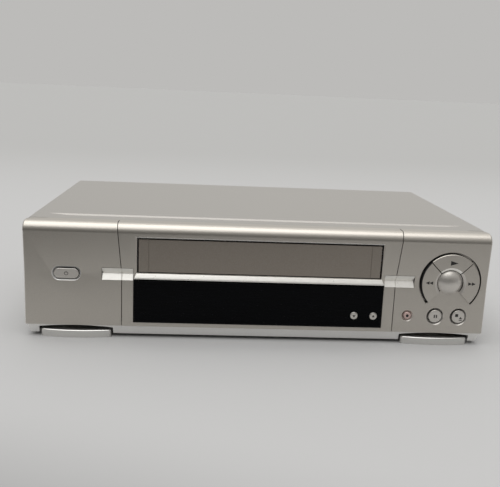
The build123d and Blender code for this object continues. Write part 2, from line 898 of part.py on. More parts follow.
window_low, window_high = window_bottom + trim_fit, window_top - trim_fit
window_side = window_half - trim_fit
with BuildPart() as display_window:
    profile_x(
        [
            (window_seat, window_low),
            (face_depth(window_low), window_low),
            (face_depth(window_low) - window_proud, window_low + window_bevel),
            (face_depth(window_high) - window_proud, window_high - window_bevel),
            (face_depth(window_high), window_high),
            (window_seat, window_high),
        ],
        -window_side,
        window_side,
    )
    profile_z(
        [
            (-window_side, window_seat + 1),
            (-window_side, 0.6),
            (-window_side + window_bevel, -window_proud),
            (window_side - window_bevel, -window_proud),
            (window_side, 0.6),
            (window_side, window_seat + 1),
        ],
        window_bottom - 1,
        window_top + 1,
        mode=Mode.INTERSECT,
    )
    for x in (channel_down_x, channel_up_x):
        rod_y(x, channel_z, channel_radius + button_gap, -2, 4, mode=Mode.SUBTRACT)
save(display_window, "display_window")

# ================================================================ cassette door
with BuildPart() as cassette_door:
    block(
        (-door_half, door_half),
        (back(door_back), back(door_back + door_thickness)),
        (door_bottom, door_top),
    )
    for side in (-1, 1):
        with Locations((side * door_groove_x, back(door_back), (door_bottom + door_top) / 2)):
            Box(door_groove_width, 2 * door_groove_depth, 2 * (door_top - door_bottom), mode=Mode.SUBTRACT)
        ear = sorted((side * door_ear_x, side * (door_ear_x + door_ear_width)))
        profile_x(
            [
                (door_back + door_thickness - 0.2, door_top - 12),
                (door_back + door_thickness + 1.6, door_top - 12),
                (door_pivot_back + 2.1, door_pivot_z - 0.7),
                (door_pivot_back - 2.1, door_pivot_z + 0.7),
                (door_back + door_thickness - 0.2, door_top),
            ],
            ear[0],
            ear[1],
        )
        rod_x(back(door_pivot_back), door_pivot_z, door_ear_radius, ear[0], ear[1])
        pin = sorted((side * (door_ear_x + 1), side * (lug_inner_x + lug_width)))
        rod_x(back(door_pivot_back), door_pivot_z, door_pin_radius, pin[0], pin[1])
save(cassette_door, "cassette_door")

with BuildPart() as door_spring:
    # Close-wound turns round each pin, and a leg that bears on the moulding.
    coil_radius = door_pin_radius + spring_wire / 2 + 0.3
    coil_middle = (door_ear_x + door_ear_width + lug_inner_x) / 2
    for side in (-1, 1):
        for step in range(spring_turns):
            x = side * (coil_middle + (step - (spring_turns - 1) / 2) * 0.8 * spring_wire)
            with Locations(Plane(origin=(x, back(door_pivot_back), door_pivot_z), z_dir=(1, 0, 0))):
                Torus(coil_radius, spring_wire / 2)
        leg_x = side * (coil_middle + (spring_turns - 1) / 2 * 0.8 * spring_wire)
        with Locations((leg_x, back(door_pivot_back + coil_radius), door_pivot_z)):
            Cylinder(spring_wire / 2, 4.5, align=(Align.CENTER, Align.CENTER, Align.MIN))
save(door_spring, "door_spring")

# ================================================================ keys and buttons
stem_end = front_board_back - switch_height - switch_gap - key_travel


def tape_key(facing):
    """One of the three keys round the dome: a slice of a bevelled ring with a rim behind the face."""
    middle = (ring_inner + ring_outer) / 2
    towards = math.radians(facing)
    rim_rear = key_flange_back + key_flange_thickness
    with BuildPart() as key:
        axis_plane = Plane(origin=(ring_x, 0, crease_z), x_dir=(1, 0, 0), z_dir=(0, 0, 1))
        with BuildSketch(axis_plane) as section:
            Polygon(
                (ring_inner - key_flange, back(rim_rear)),
                (ring_inner - key_flange, back(key_flange_back)),
                (ring_inner, back(key_flange_back)),
                (ring_inner, back(key_lip / 2 - key_front)),
                (ring_inner + key_lip, back(-key_front)),
                (ring_outer - 0.6, back(-key_front)),
                (ring_outer, back(0.6 - key_front)),
                (ring_outer, back(key_flange_back)),
                (ring_outer + ring_flange, back(key_flange_back)),
                (ring_outer + ring_flange, back(rim_rear)),
                align=None,
            )
        revolve(section.sketch, axis=Axis((ring_x, 0, crease_z), (0, 1, 0)))
        profile_y(ring_sector(facing, 45, key_gap / 2), -6, 9, mode=Mode.INTERSECT)
        rod_y(
            ring_x + middle * math.cos(towards),
            crease_z + middle * math.sin(towards),
            key_stem_radius,
            rim_rear - 0.5,
            stem_end,
        )
    return key


play_key = tape_key(90)
save(play_key, "play_key")

rewind_key = tape_key(180)
save(rewind_key, "rewind_key")

fast_forward_key = tape_key(0)
save(fast_forward_key, "fast_forward_key")


def round_button(x, z, radius, front):
    """A button with an eased front edge, a rim behind the face and a stem."""
    rim_rear = key_flange_back + key_flange_thickness
    with BuildPart() as button:
        rod_y(x, z, radius, front, key_flange_back + 0.1)
        chamfer(button.faces().sort_by(Axis.Y)[0].edges(), length=0.5)
        rod_y(x, z, radius + key_flange, key_flange_back, rim_rear)
        rod_y(x, z, key_stem_radius, rim_rear - 0.1, stem_end)
    return button


record_button = round_button(record_x, small_key_z, record_radius, face_depth(small_key_z) - button_proud)
save(record_button, "record_button")

pause_button = round_button(pause_x, small_key_z, round_key_radius, face_depth(small_key_z) - button_proud)
save(pause_button, "pause_button")

stop_button = round_button(stop_x, small_key_z, round_key_radius, face_depth(small_key_z) - button_proud)
save(stop_button, "stop_button")

channel_front = face_depth(channel_z) - window_proud - button_proud
channel_down_button = round_button(channel_down_x, channel_z, channel_radius, channel_front)
save(channel_down_button, "channel_down_button")

channel_up_button = round_button(channel_up_x, channel_z, channel_radius, channel_front)
save(channel_up_button, "channel_up_button")

with BuildPart() as power_button:
    cap_front = face_depth(power_z) - button_proud
    with BuildSketch(face_plane(cap_front)) as cap:
        with Locations((power_x, power_z)):
            SlotOverall(power_length, power_height)
    extrude(cap.sketch, amount=cap_front - key_flange_back - 0.1)
    chamfer(power_button.faces().sort_by(Axis.Y)[0].edges(), length=0.5)
    with BuildSketch(face_plane(key_flange_back)) as rim:
        with Locations((power_x, power_z)):
            SlotOverall(power_length + 2 * key_flange, power_height + 2 * key_flange)
    extrude(rim.sketch, amount=-key_flange_thickness)
    rod_y(power_x, power_z, key_stem_radius, key_flange_back + key_flange_thickness - 0.1, stem_end)
save(power_button, "power_button")

# ================================================================ feet
with BuildPart() as front_feet:
    for side in (-1, 1):
        with BuildSketch() as foot_plan:
            with BuildLine():
                left, right = side * foot_x - foot_width / 2, side * foot_x + foot_width / 2
                Polyline(
                    (left, back(foot_side_back)),
                    (left, back(foot_rear)),
                    (right, back(foot_rear)),
                    (right, back(foot_side_back)),
                )
                ThreePointArc(
                    (left, back(foot_side_back)),
                    (side * foot_x, back(foot_side_back - foot_bulge)),
                    (right, back(foot_side_back)),
                )
            make_face()
            fillet(
                foot_plan.vertices().filter_by(lambda corner: corner.Y < back(foot_rear - 1)),
                radius=foot_corner,
            )
        extrude(foot_plan.sketch, amount=foot_height)
    front_edges = front_feet.edges().filter_by(
        lambda edge: edge.center().Y < back(foot_side_back + foot_corner)
        and edge.center().Z > foot_height - 0.01
    )
    chamfer(front_edges, length=foot_edge)
    # The rear part lies under the tray, so it is lower.
    for side in (-1, 1):
        middle = side * foot_x
        block(
            (middle - foot_width, middle + foot_width),
            (back(foot_step_back), back(foot_rear + 1)),
            (plinth_bottom, foot_height + 1),
            mode=Mode.SUBTRACT,
        )
        for peg in (-foot_peg_shift, foot_peg_shift):
            at = (middle + peg, back(foot_peg_back))
            column(at, foot_peg_radius, plinth_bottom - 0.5, tray_floor_top + 1)
save(front_feet, "front_feet")

with BuildPart() as rear_feet:
    for side in (-1, 1):
        at = (side * rear_foot_x, back(rear_foot_back))
        column(at, rear_foot_radius, 0, plinth_bottom)
        chamfer(
            rear_feet.edges().filter_by(
                lambda edge: edge.center().Z < 0.01 and edge.center().X * side > 0
            ),
            length=0.6,
        )
        column(at, foot_peg_radius, plinth_bottom - 0.5, tray_floor_top + 1)
save(rear_feet, "rear_feet")

# ================================================================ tray, cover and rear panel
panel_front = body_depth - panel_sheet

with BuildPart() as chassis_tray:
    floor_limits = (plinth_bottom, tray_floor_top)
    block((-tray_half, tray_half), (back(tray_front), back(panel_front)), floor_limits)
    for side in (-1, 1):
        corner = sorted((side * (plinth_inner - 0.4), side * (tray_half + 1)))
        block(
            corner,
            (back(tray_front - 1), back(bezel_return + 0.4)),
            (plinth_bottom - 1, tray_floor_top + 1),
            mode=Mode.SUBTRACT,
        )
        wall = sorted((side * (tray_half - tray_wall), side * tray_half))
        block(wall, (back(bezel_return + 0.4), back(panel_front)), (plinth_bottom, tray_side_top))
        # Notch behind each foot mouth, where the tall front of the foot stands.
        notch = (side * foot_x - foot_width / 2 - foot_gap, side * foot_x + foot_width / 2 + foot_gap)
        block(
            notch,
            (back(tray_front - 1), back(foot_step_back + 0.4)),
            (plinth_bottom - 1, tray_floor_top + 1),
            mode=Mode.SUBTRACT,
        )
        for peg in (-foot_peg_shift, foot_peg_shift):
            column(
                (side * foot_x + peg, back(foot_peg_back)), foot_peg_radius, 0, board_z, mode=Mode.SUBTRACT
            )
        column((side * rear_foot_x, back(rear_foot_back)), foot_peg_radius, 0, board_z, mode=Mode.SUBTRACT)
    # Upright rear edge for the lower panel screws.
    block(
        (-tray_half, tray_half),
        (back(panel_front - tray_wall), back(panel_front)),
        (plinth_bottom, tray_floor_top + 3.5),
    )
    for side in (-1, 1):
        lug = sorted((side * (rear_screw_x - 7), side * (rear_screw_x + 7)))
        block(lug, (back(panel_front - tray_wall), back(panel_front)), (plinth_bottom, tray_side_top))
    for x in (-standoff_x, 0, standoff_x):
        for depth in standoff_backs:
            column((x, back(depth)), standoff_radius, tray_floor_top, board_z)
    for side in (-1, 1):
        for depth in pillar_backs:
            column((side * pillar_x, back(depth)), pillar_radius, tray_floor_top, deck_z)
    # Cooling slots under the boards.
    for x in (-60, -20, 20, 60):
        for step in range(7):
            with Locations((x, back(90 + 10 * step), plinth_bottom)):
                Box(24, 3, 4, mode=Mode.SUBTRACT)
    for side in (-1, 1):
        for depth in side_screw_backs:
            start = side * (tray_half + 1)
            rod_x(
                back(depth),
                side_screw_z,
                screw_radius + screw_clearance,
                *sorted((start, start - side * 4)),
                mode=Mode.SUBTRACT,
            )
        rod_y(
            side * rear_screw_x,
            rear_screw_zs[0],
            screw_radius + screw_clearance,
            panel_front - 4,
            panel_front + 1,
            mode=Mode.SUBTRACT,
        )
save(chassis_tray, "chassis_tray")

cover_inner = cover_half - sheet
with BuildPart() as recess:
    profile_x(
        [
            (cover_front_back, cover_top + 2),
            (cover_front_back, cover_top - recess_depth),
            (recess_back - recess_ramp, cover_top - recess_depth),
            (recess_back, cover_top),
            (recess_back, cover_top + 2),
        ],
        -recess_half,
        recess_half,
    )
    profile_y(
        [
            (-recess_half, cover_top + 2),
            (-recess_half, cover_top),
            (recess_end_ramp - recess_half, cover_top - recess_depth),
            (recess_half - recess_end_ramp, cover_top - recess_depth),
            (recess_half, cover_top),
            (recess_half, cover_top + 2),
        ],
        0,
        recess_back + 1,
        mode=Mode.INTERSECT,
    )

with BuildPart() as top_cover:
    with BuildSketch(face_plane(cover_front_back)) as cover_outline:
        with Locations((0, (cover_bottom + cover_top) / 2)):
            Rectangle(2 * cover_half, cover_top - cover_bottom)
        fillet(cover_outline.vertices().group_by(Axis.Y)[-1], radius=cover_bend)
    extrude(cover_outline.sketch, amount=cover_front_back - body_depth)
    with BuildSketch(face_plane(cover_front_back - 1)) as cover_inside:
        with Locations((0, (cover_bottom + cover_top) / 2 - sheet)):
            Rectangle(2 * cover_inner, cover_top - cover_bottom)
        fillet(cover_inside.vertices().group_by(Axis.Y)[-1], radius=cover_bend - sheet)
    extrude(cover_inside.sketch, amount=cover_front_back - body_depth - 2, mode=Mode.SUBTRACT)
    # Pressed-down strip: the sheet drops along a ramp and runs on to the bezel.
    add(recess.part.moved(Location((0, 0, -sheet))))
    add(recess.part, mode=Mode.SUBTRACT)
    # Room for the top flange of the bezel.
    block(
        (-cover_inner - 0.05, cover_inner + 0.05),
        (back(cover_front_back - 1), back(bezel_flange + 0.3)),
        (bezel_top - bezel_wall - 1, cover_top + 1),
        mode=Mode.SUBTRACT,
    )
    # Upright cooling slots in both sides.
    for side in (-1, 1):
        for step in range(vent_count):
            depth = vent_middle_back + (step - (vent_count - 1) / 2) * vent_pitch
            with Locations((side * cover_half, back(depth), vent_z)):
                Box(4 * sheet, vent_width, vent_length, mode=Mode.SUBTRACT)
        for depth in side_screw_backs:
            start = side * (cover_half + 1)
            rod_x(
                back(depth),
                side_screw_z,
                screw_radius + screw_clearance,
                *sorted((start, start - side * 4)),
                mode=Mode.SUBTRACT,
            )
        # Inward tab that the upper panel screw holds.
        tab = sorted((side * (rear_screw_x - 7), side * (cover_inner + 0.1)))
        block(
            tab,
            (back(panel_front - sheet), back(panel_front)),
            (rear_screw_zs[1] - 6, rear_screw_zs[1] + 6),
        )
        rod_y(
            side * rear_screw_x,
            rear_screw_zs[1],
            screw_radius + screw_clearance,
            panel_front - 4,
            panel_front + 1,
            mode=Mode.SUBTRACT,
        )
save(top_cover, "top_cover")

with BuildPart() as case_screws:
    for side in (-1, 1):
        for depth in side_screw_backs:
            head = sorted((side * cover_half, side * (cover_half + screw_head_height)))
            rod_x(back(depth), side_screw_z, screw_head_radius, head[0], head[1])
            shank = sorted((side * (cover_half + 0.2), side * (cover_half - screw_length)))
            rod_x(back(depth), side_screw_z, screw_radius, shank[0], shank[1])
        for z in rear_screw_zs:
            x = side * rear_screw_x
            rod_y(x, z, screw_head_radius, body_depth, body_depth + screw_head_height)
            rod_y(x, z, screw_radius, body_depth - screw_length, body_depth + 0.2)
save(case_screws, "case_screws")

# ================================================================ rear panel and sockets
with BuildPart() as rear_panel:
    panel_half = cover_inner - 0.4
    block((-panel_half, panel_half), (back(panel_front), back(body_depth)), (panel_bottom, panel_top))
    for x in scart_xs:
        block(
            (x - scart_width / 2 - 0.3, x + scart_width / 2 + 0.3),
            (back(panel_front - 1), back(body_depth + 1)),
            (scart_bottom - 0.3, scart_bottom + scart_height + 0.3),
            mode=Mode.SUBTRACT,
        )
    for z, radius in zip(aerial_zs, (aerial_out_radius, aerial_in_radius)):
        rod_y(aerial_x, z, radius + 0.3, panel_front - 1, body_depth + 1, mode=Mode.SUBTRACT)
    rod_y(cord_x, cord_z, relief_neck_radius + 0.1, panel_front - 1, body_depth + 1, mode=Mode.SUBTRACT)
    for row in range(vent_rows):
        for step in range(vent_columns):
            x = rear_vent_x + (step - (vent_columns - 1) / 2) * vent_pitch
            z = rear_vent_z + (row - (vent_rows - 1) / 2) * (vent_length + 5)
            block(
                (x - vent_width / 2, x + vent_width / 2),
                (back(panel_front - 1), back(body_depth + 1)),
                (z - vent_length / 2, z + vent_length / 2),
                mode=Mode.SUBTRACT,
            )
    for side in (-1, 1):
        for z in rear_screw_zs:
            rod_y(
                side * rear_screw_x,
                z,
                screw_radius + screw_clearance,
                panel_front - 1,
                body_depth + 1,
                mode=Mode.SUBTRACT,
            )
save(rear_panel, "rear_panel")

with BuildPart() as scart_sockets:
    for x in scart_xs:
        low, high = scart_bottom, scart_bottom + scart_height
        with BuildSketch(face_plane(panel_front - scart_depth)) as shell_outline:
            Polygon(
                (x - scart_width / 2, low),
                (x + scart_width / 2, low),
                (x + scart_width / 2, high - 4),
                (x + scart_width / 2 - 3, high),
                (x - scart_width / 2, high),
                align=None,
            )
        extrude(shell_outline.sketch, amount=-(scart_depth + panel_sheet + 1.5))
        cavity_front = body_depth + 1.5
        with BuildSketch(face_plane(cavity_front - scart_cavity)) as cavity_outline:
            Polygon(
                (x - scart_width / 2 + 1.6, low + 1.6),
                (x + scart_width / 2 - 1.6, low + 1.6),
                (x + scart_width / 2 - 1.6, high - 4.6),
                (x + scart_width / 2 - 3.6, high - 1.6),
                (x - scart_width / 2 + 1.6, high - 1.6),
                align=None,
            )
        extrude(cavity_outline.sketch, amount=-(scart_cavity + 1), mode=Mode.SUBTRACT)
        # Contact strips along the two long walls, at the bottom of the cavity.
        for z in (low + 1.6, high - 2.2):
            for step in range(10):
                contact_x = x - 18.0 + 3.8 * step
                block(
                    (contact_x - 0.7, contact_x + 0.7),
                    (back(cavity_front - scart_cavity - 0.1), back(cavity_front - scart_cavity + 5)),
                    (z, z + 0.6),
                )
save(scart_sockets, "scart_sockets")

with BuildPart() as tuner_can:
    tuner_rear = panel_front - aerial_flange
    tuner_front = tuner_rear - tuner_depth
    tuner_top = board_top + tuner_height
    block(
        (aerial_x - tuner_half, aerial_x + tuner_half),
        (back(tuner_front), back(tuner_rear)),
        (board_top, tuner_top),
    )
    chamfer(tuner_can.edges().filter_by(Axis.Z), length=0.8)
    # Pressed lid with a raised field, and trimmer holes.
    lid_front = tuner_front - tuner_lid_proud
    lid_half = tuner_half - tuner_lid_inset
    block(
        (aerial_x - lid_half, aerial_x + lid_half),
        (back(lid_front), back(tuner_front + tuner_lid_proud)),
        (board_top + tuner_lid_inset, tuner_top - tuner_lid_inset),
    )
    for step in (-1, 0, 1):
        rod_y(
            aerial_x + step * trimmer_pitch,
            tuner_top - 3 * tuner_lid_inset,
            trimmer_radius,
            lid_front - 1,
            tuner_front + 1.5,
            mode=Mode.SUBTRACT,
        )
save(tuner_can, "tuner_can")

with BuildPart() as aerial_sockets:
    socket_rear = body_depth + socket_proud
    shell_start = body_depth + socket_nut_height
    for z, radius in zip(aerial_zs, (aerial_out_radius, aerial_in_radius)):
        # A flange inside the panel and a thin nut outside it, then the shell past an undercut.
        rod_y(aerial_x, z, radius + aerial_flange, panel_front - aerial_flange, panel_front)
        rod_y(aerial_x, z, radius - socket_groove, panel_front - 0.1, socket_rear)
        rod_y(aerial_x, z, radius + aerial_nut_rim, body_depth, shell_start)
        rod_y(aerial_x, z, radius, shell_start + socket_groove, socket_rear)
    # The output is a shell with a pin, the input a wider bore with a sleeve that takes such a pin.
    rod_y(
        aerial_x, aerial_zs[0], aerial_out_radius - 0.7, body_depth, socket_rear + 1, mode=Mode.SUBTRACT
    )
    rod_y(aerial_x, aerial_zs[0], aerial_pin_radius, body_depth - 0.5, socket_rear - 0.5)
    rod_y(
        aerial_x, aerial_zs[1], aerial_in_radius - 1.2, body_depth, socket_rear + 1, mode=Mode.SUBTRACT
    )
    rod_y(aerial_x, aerial_zs[1], aerial_pin_radius + 1, body_depth - 0.5, socket_rear - 0.5)
    rod_y(
        aerial_x, aerial_zs[1], aerial_pin_radius, body_depth + 1, socket_rear, mode=Mode.SUBTRACT
    )
save(aerial_sockets, "aerial_sockets")

# ================================================================ boards and power supply
board_rear = panel_front - board_rear_gap

with BuildPart() as main_board:
    block((-board_half, board_half), (back(board_front), back(board_rear)), (board_z, board_top))
    for side in (-1, 1):
        for depth in pillar_backs:
            column(
                (side * pillar_x, back(depth)),
                pillar_radius + pillar_clearance,
                board_z - 1,
                board_top + 1,
                mode=Mode.SUBTRACT,
            )
    # Integrated circuits under the deck: middle x, distance behind the face, width, depth.
    for x, depth, width, length in chips + bay_chips:
        block(
            (x - width / 2, x + width / 2),
            (back(depth - length / 2), back(depth + length / 2)),
            (board_top, board_top + chip_height),
        )
    # Electrolytic capacitors beside the deck: middle x, distance behind the face, radius, height.
    for x, depth, radius, height in capacitors:
        column((x, back(depth)), radius, board_top, board_top + height)
save(main_board, "main_board")

with BuildPart() as transformer:
    x, y = transformer_x, back(transformer_back)
    block(
        (x - core_half_width, x + core_half_width),
        (y - core_half_depth, y + core_half_depth),
        (board_top + core_foot, board_top + core_height),
    )
    block(
        (x - winding_half_width, x + winding_half_width),
        (y - winding_half_depth, y + winding_half_depth),
        (board_top + winding_bottom, board_top + winding_top),
    )
    fillet(transformer.edges().filter_by(Axis.Z), radius=core_foot)
    # Mounting foot with two ears.
    ear_half = core_half_width + 4.0
    block(
        (x - ear_half, x + ear_half),
        (y - core_half_depth - 1.0, y + core_half_depth + 1.0),
        (board_top, board_top + core_foot),
    )
save(transformer, "transformer")

with BuildPart() as heat_sink:
    x, y = heat_sink_x, back(heat_sink_back)
    plate_y = y - heat_sink_plate / 2
    sink_top = board_top + heat_sink_height
    plate_limits = (plate_y, plate_y + heat_sink_plate)
    block((x - heat_sink_half, x + heat_sink_half), plate_limits, (board_top, sink_top))
    fin_run = 2 * (heat_sink_half - 2 * fin_thickness)
    for step in range(fin_count):
        fin_x = x + fin_run * (step / (fin_count - 1) - 0.5)
        block(
            (fin_x - fin_thickness / 2, fin_x + fin_thickness / 2),
            (y, y + fin_depth),
            (board_top + fin_thickness, sink_top),
        )
    # Two power transistors on the flat side.
    for shift in (-transistor_shift, transistor_shift):
        block(
            (x + shift - transistor_half, x + shift + transistor_half),
            (plate_y - transistor_depth, plate_y + 0.1),
            (board_top + transistor_bottom, board_top + transistor_top),
        )
save(heat_sink, "heat_sink")

front_board_rear = front_board_back + front_board_thickness
stem_places = [
    (ring_x + (ring_inner + ring_outer) / 2 * math.cos(math.radians(facing)),
     crease_z + (ring_inner + ring_outer) / 2 * math.sin(math.radians(facing)))
    for facing in (0, 90, 180)
] + [
    (record_x, small_key_z),
    (pause_x, small_key_z),
    (stop_x, small_key_z),
    (channel_down_x, channel_z),
    (channel_up_x, channel_z),
    (power_x, power_z),
]

with BuildPart() as front_board:
    profile_y(
        [
            (-front_board_half, front_board_bottom),
            (front_board_half, front_board_bottom),
            (front_board_half, front_wing_top_right),
            (front_wing_inner, front_wing_top_right),
            (front_wing_inner, front_board_top),
            (-front_wing_inner, front_board_top),
            (-front_wing_inner, front_wing_top_left),
            (-front_board_half, front_wing_top_left),
        ],
        front_board_back,
        front_board_rear,
    )
    # Ribbon connectors on the rear side, under the deck level.
    for x in (-70, 70):
        block((x - 12, x + 12), (back(front_board_rear - 0.1), back(front_board_rear + 5)), (17, 22))
save(front_board, "front_board")

with BuildPart() as tact_switches:
    for x, z in stem_places:
        half = switch_side / 2
        base = (back(front_board_back - 2.6), back(front_board_back))
        block((x - half, x + half), base, (z - half, z + half))
        rod_y(x, z, 1.7, front_board_back - switch_height, front_board_back - 2.5)
save(tact_switches, "tact_switches")

with BuildPart() as display_module:
    display_front = front_board_back - display_thickness
    block(
        (display_x - display_width / 2, display_x + display_width / 2),
        (back(display_front), back(front_board_back - 1.0)),
        (display_z - display_height / 2, display_z + display_height / 2),
    )
    chamfer(display_module.faces().sort_by(Axis.Y)[0].edges(), length=0.6)
    for step in range(24):
        x = display_x - 0.45 * display_width + step * 0.9 * display_width / 23
        block(
            (x - 0.3, x + 0.3),
            (back(front_board_back - 1.1), back(front_board_back)),
            (display_z - display_height / 2 + 1, display_z - display_height / 2 + 1.6),
        )
save(display_module, "display_module")

# ================================================================ tape deck: fixed parts
deck_top = deck_z + deck_sheet
clutch_at = (0.0, back(clutch_back))
capstan_at = (capstan_x, back(capstan_back))
cam_at = (cam_x, back(cam_back))
pinch_at = (pinch_pivot_x, back(pinch_pivot_back))
pinch_roller_at = (
    pinch_roller_x,
    capstan_at[1] - capstan_radius - pinch_roller_radius - pinch_contact_gap,
)
tension_at = (tension_x, back(tension_back))
tension_post_at = (tension_post_x, back(tension_post_back))
motor_at = (motor_x, back(motor_back))
guide_run = (guide_end[0] - guide_start[0], guide_end[1] - guide_start[1])
guide_length = math.hypot(*guide_run)
guide_angle = math.degrees(math.atan2(guide_run[1], guide_run[0]))

with BuildPart() as deck_chassis:
    block((-deck_half, deck_half), (back(deck_front), back(deck_rear)), (deck_z, deck_top))
    # Stiffening lips at the sides, behind the carriage, and at the rear.
    for side in (-1, 1):
        lip = sorted((side * (deck_half - deck_sheet), side * deck_half))
        block(lip, (back(deck_front), back(deck_rear)), (deck_z, deck_z + 6))
    block((-deck_half, deck_half), (back(deck_rear - deck_sheet), back(deck_rear)), (deck_z, deck_z + 8))
    # Slots that the loading guides run in.
    for side in (-1, 1):
        middle = (
            side * (guide_start[0] + guide_end[0]) / 2,
            back((guide_start[1] + guide_end[1]) / 2),
        )
        with BuildSketch(Plane.XY.offset(deck_z - 1)) as slot:
            with Locations(middle):
                SlotCenterToCenter(
                    guide_length,
                    2 * (guide_pin_radius + guide_pin_clearance),
                    rotation=guide_angle if side > 0 else 180 - guide_angle,
                )
        extrude(slot.sketch, amount=deck_sheet + 2, mode=Mode.SUBTRACT)
    # Bearings of the capstan and the clutch.
    column(capstan_at, capstan_radius + 2.0, deck_z, capstan_sleeve_top)
    column(capstan_at, capstan_radius + running_gap, deck_z - 1, capstan_sleeve_top + 1, mode=Mode.SUBTRACT)
    column(clutch_at, spindle_radius + 2.2, deck_z - 2.4, deck_top + 1.2)
    column(clutch_at, spindle_radius + running_gap, deck_z - 4, deck_top + 3, mode=Mode.SUBTRACT)
    # Spindles and pivot posts.
    for side in (-1, 1):
        at = (side * reel_x, back(reel_back))
        column(at, spindle_radius + 2.0, deck_z + 0.5, reel_base_z)
        column(at, spindle_radius, deck_z + 0.5, reel_top + 1.5)
    for at, top in ((pinch_at, 40.0), (tension_at, 38.0), (cam_at, loading_belt_z + 5.0)):
        column(at, spindle_radius + 2.0, deck_z + 0.5, deck_top + 0.9)
        column(at, spindle_radius, deck_z + 0.5, top)
save(deck_chassis, "deck_chassis")

with BuildPart() as carriage_frame:
    for side in (-1, 1):
        plate = sorted((side * carriage_plate_x, side * (carriage_plate_x + carriage_sheet)))
        block(plate, (back(carriage_front), back(carriage_rear)), (deck_top, carriage_top))
        foot = sorted((side * carriage_plate_x, side * (deck_half - deck_sheet - 1)))
        foot_limits = (back(carriage_front + 6), back(carriage_rear - 4))
        block(foot, foot_limits, (deck_top, deck_top + carriage_sheet))
        slot_reach = guide_pin_radius + guide_pin_clearance
        block(
            sorted((side * (carriage_plate_x - 1), side * (carriage_plate_x + 3))),
            (
                back(slider_pin_backs[0] - slot_reach),
                back(slider_pin_backs[1] + carriage_travel + slot_reach),
            ),
            (slider_pin_z - slot_reach, slider_pin_z + slot_reach),
            mode=Mode.SUBTRACT,
        )
        # Window that lightens the plate.
        block(
            sorted((side * (carriage_plate_x - 1), side * (carriage_plate_x + 3))),
            (back(carriage_front + 14), back(carriage_rear - 14)),
            (deck_top + 9, slider_pin_z - 10),
            mode=Mode.SUBTRACT,
        )
    bridge_half = carriage_plate_x + carriage_sheet
    block(
        (-bridge_half, bridge_half),
        (back(bridge_front), back(bridge_rear)),
        (carriage_top - carriage_sheet, carriage_top),
    )
    block(
        (-60, 60), (back(bridge_front + 12), back(bridge_rear - 12)), (carriage_top - 2, carriage_top + 1),
        mode=Mode.SUBTRACT,
    )
save(carriage_frame, "carriage_frame")

# ================================================================ tape deck: cassette carriage
bar_front, bar_rear = slider_rear - 22.0, slider_rear - 2.0
with BuildPart() as carriage_slider:
    for side in (-1, 1):
        plate = sorted((side * slider_plate_x, side * (slider_plate_x + carriage_sheet)))
        block(plate, (back(slider_front), back(slider_rear)), (slider_bottom, slider_top))
        block(plate, (back(bar_front), back(bar_rear)), (slider_top - 1, slider_bar_z + carriage_sheet))
        slot_reach = guide_pin_radius + guide_pin_clearance
        for depth in holder_pin_backs:
            block(
                sorted((side * (slider_plate_x - 1), side * (slider_plate_x + 3))),
                (back(depth - slot_reach), back(depth + slot_reach)),
                (holder_pin_z - drop_travel - slot_reach, holder_pin_z + slot_reach),
                mode=Mode.SUBTRACT,
            )
        for depth in slider_pin_backs:
            rod_x(
                back(depth),
                slider_pin_z,
                guide_pin_radius,
                *sorted((side * slider_plate_x, side * (carriage_plate_x + carriage_sheet))),
            )
    bar_half = slider_plate_x + carriage_sheet
    bar_limits = (slider_bar_z, slider_bar_z + carriage_sheet)
    block((-bar_half, bar_half), (back(bar_front), back(bar_rear)), bar_limits)
save(carriage_slider, "carriage_slider")

with BuildPart() as cassette_holder:
    wall_outer = holder_inner + holder_sheet
    low, high = holder_floor - holder_sheet, holder_ceiling + holder_sheet
    block((-wall_outer, wall_outer), (back(slider_front), back(slider_rear)), (holder_ceiling, high))
    # Sprung tongues pressed out of the top plate.
    for side in (-1, 1):
        for edge in (-1, 1):
            slit_x = side * 55 + edge * 8
            block(
                (slit_x - 0.6, slit_x + 0.6),
                (back(slider_front + 6), back(slider_rear - 8)),
                (holder_ceiling - 1, high + 1),
                mode=Mode.SUBTRACT,
            )
        wall = sorted((side * holder_inner, side * wall_outer))
        block(wall, (back(slider_front), back(slider_rear)), (low, high))
        ledge = sorted((side * (holder_inner - holder_ledge), side * wall_outer))
        block(ledge, (back(holder_front), back(slider_rear)), (low, holder_floor))
        stop = sorted((side * (holder_inner - holder_ledge), side * wall_outer))
        block(stop, (back(slider_rear - holder_sheet), back(slider_rear)), (low, high))
        for depth in holder_pin_backs:
            rod_x(
                back(depth),
                holder_pin_z,
                guide_pin_radius,
                *sorted((side * (wall_outer - 0.2), side * (slider_plate_x + carriage_sheet + 0.5))),
            )
save(cassette_holder, "cassette_holder")

# ================================================================ tape deck: turning parts


def reel_table(side):
    """A reel table: a rimmed disc with a splined hub that turns on its spindle."""
    at = (side * reel_x, back(reel_back))
    with BuildPart() as reel:
        column(at, reel_radius, reel_base_z, reel_base_z + reel_disc)
        with Locations((at[0], at[1], reel_base_z + reel_disc)):
            Cylinder(reel_radius - 3, 2.0, mode=Mode.SUBTRACT)
        column(at, reel_hub_radius + 4, reel_base_z, reel_base_z + reel_disc + 0.6)
        column(at, reel_hub_radius, reel_base_z + reel_disc, reel_top - 1.5)
        column(at, reel_hub_radius - 2.5, reel_base_z + reel_disc, reel_top)
        with Locations((at[0], at[1], (reel_base_z + reel_disc + reel_top - 3) / 2)):
            with PolarLocations(reel_hub_radius, 6):
                Box(3.0, 1.4, reel_top - 3 - reel_base_z - reel_disc)
        column(at, spindle_radius + running_gap, reel_base_z - 1, reel_top + 1, mode=Mode.SUBTRACT)
    return reel


supply_reel = reel_table(-1)
save(supply_reel, "supply_reel")

takeup_reel = reel_table(1)
save(takeup_reel, "takeup_reel")

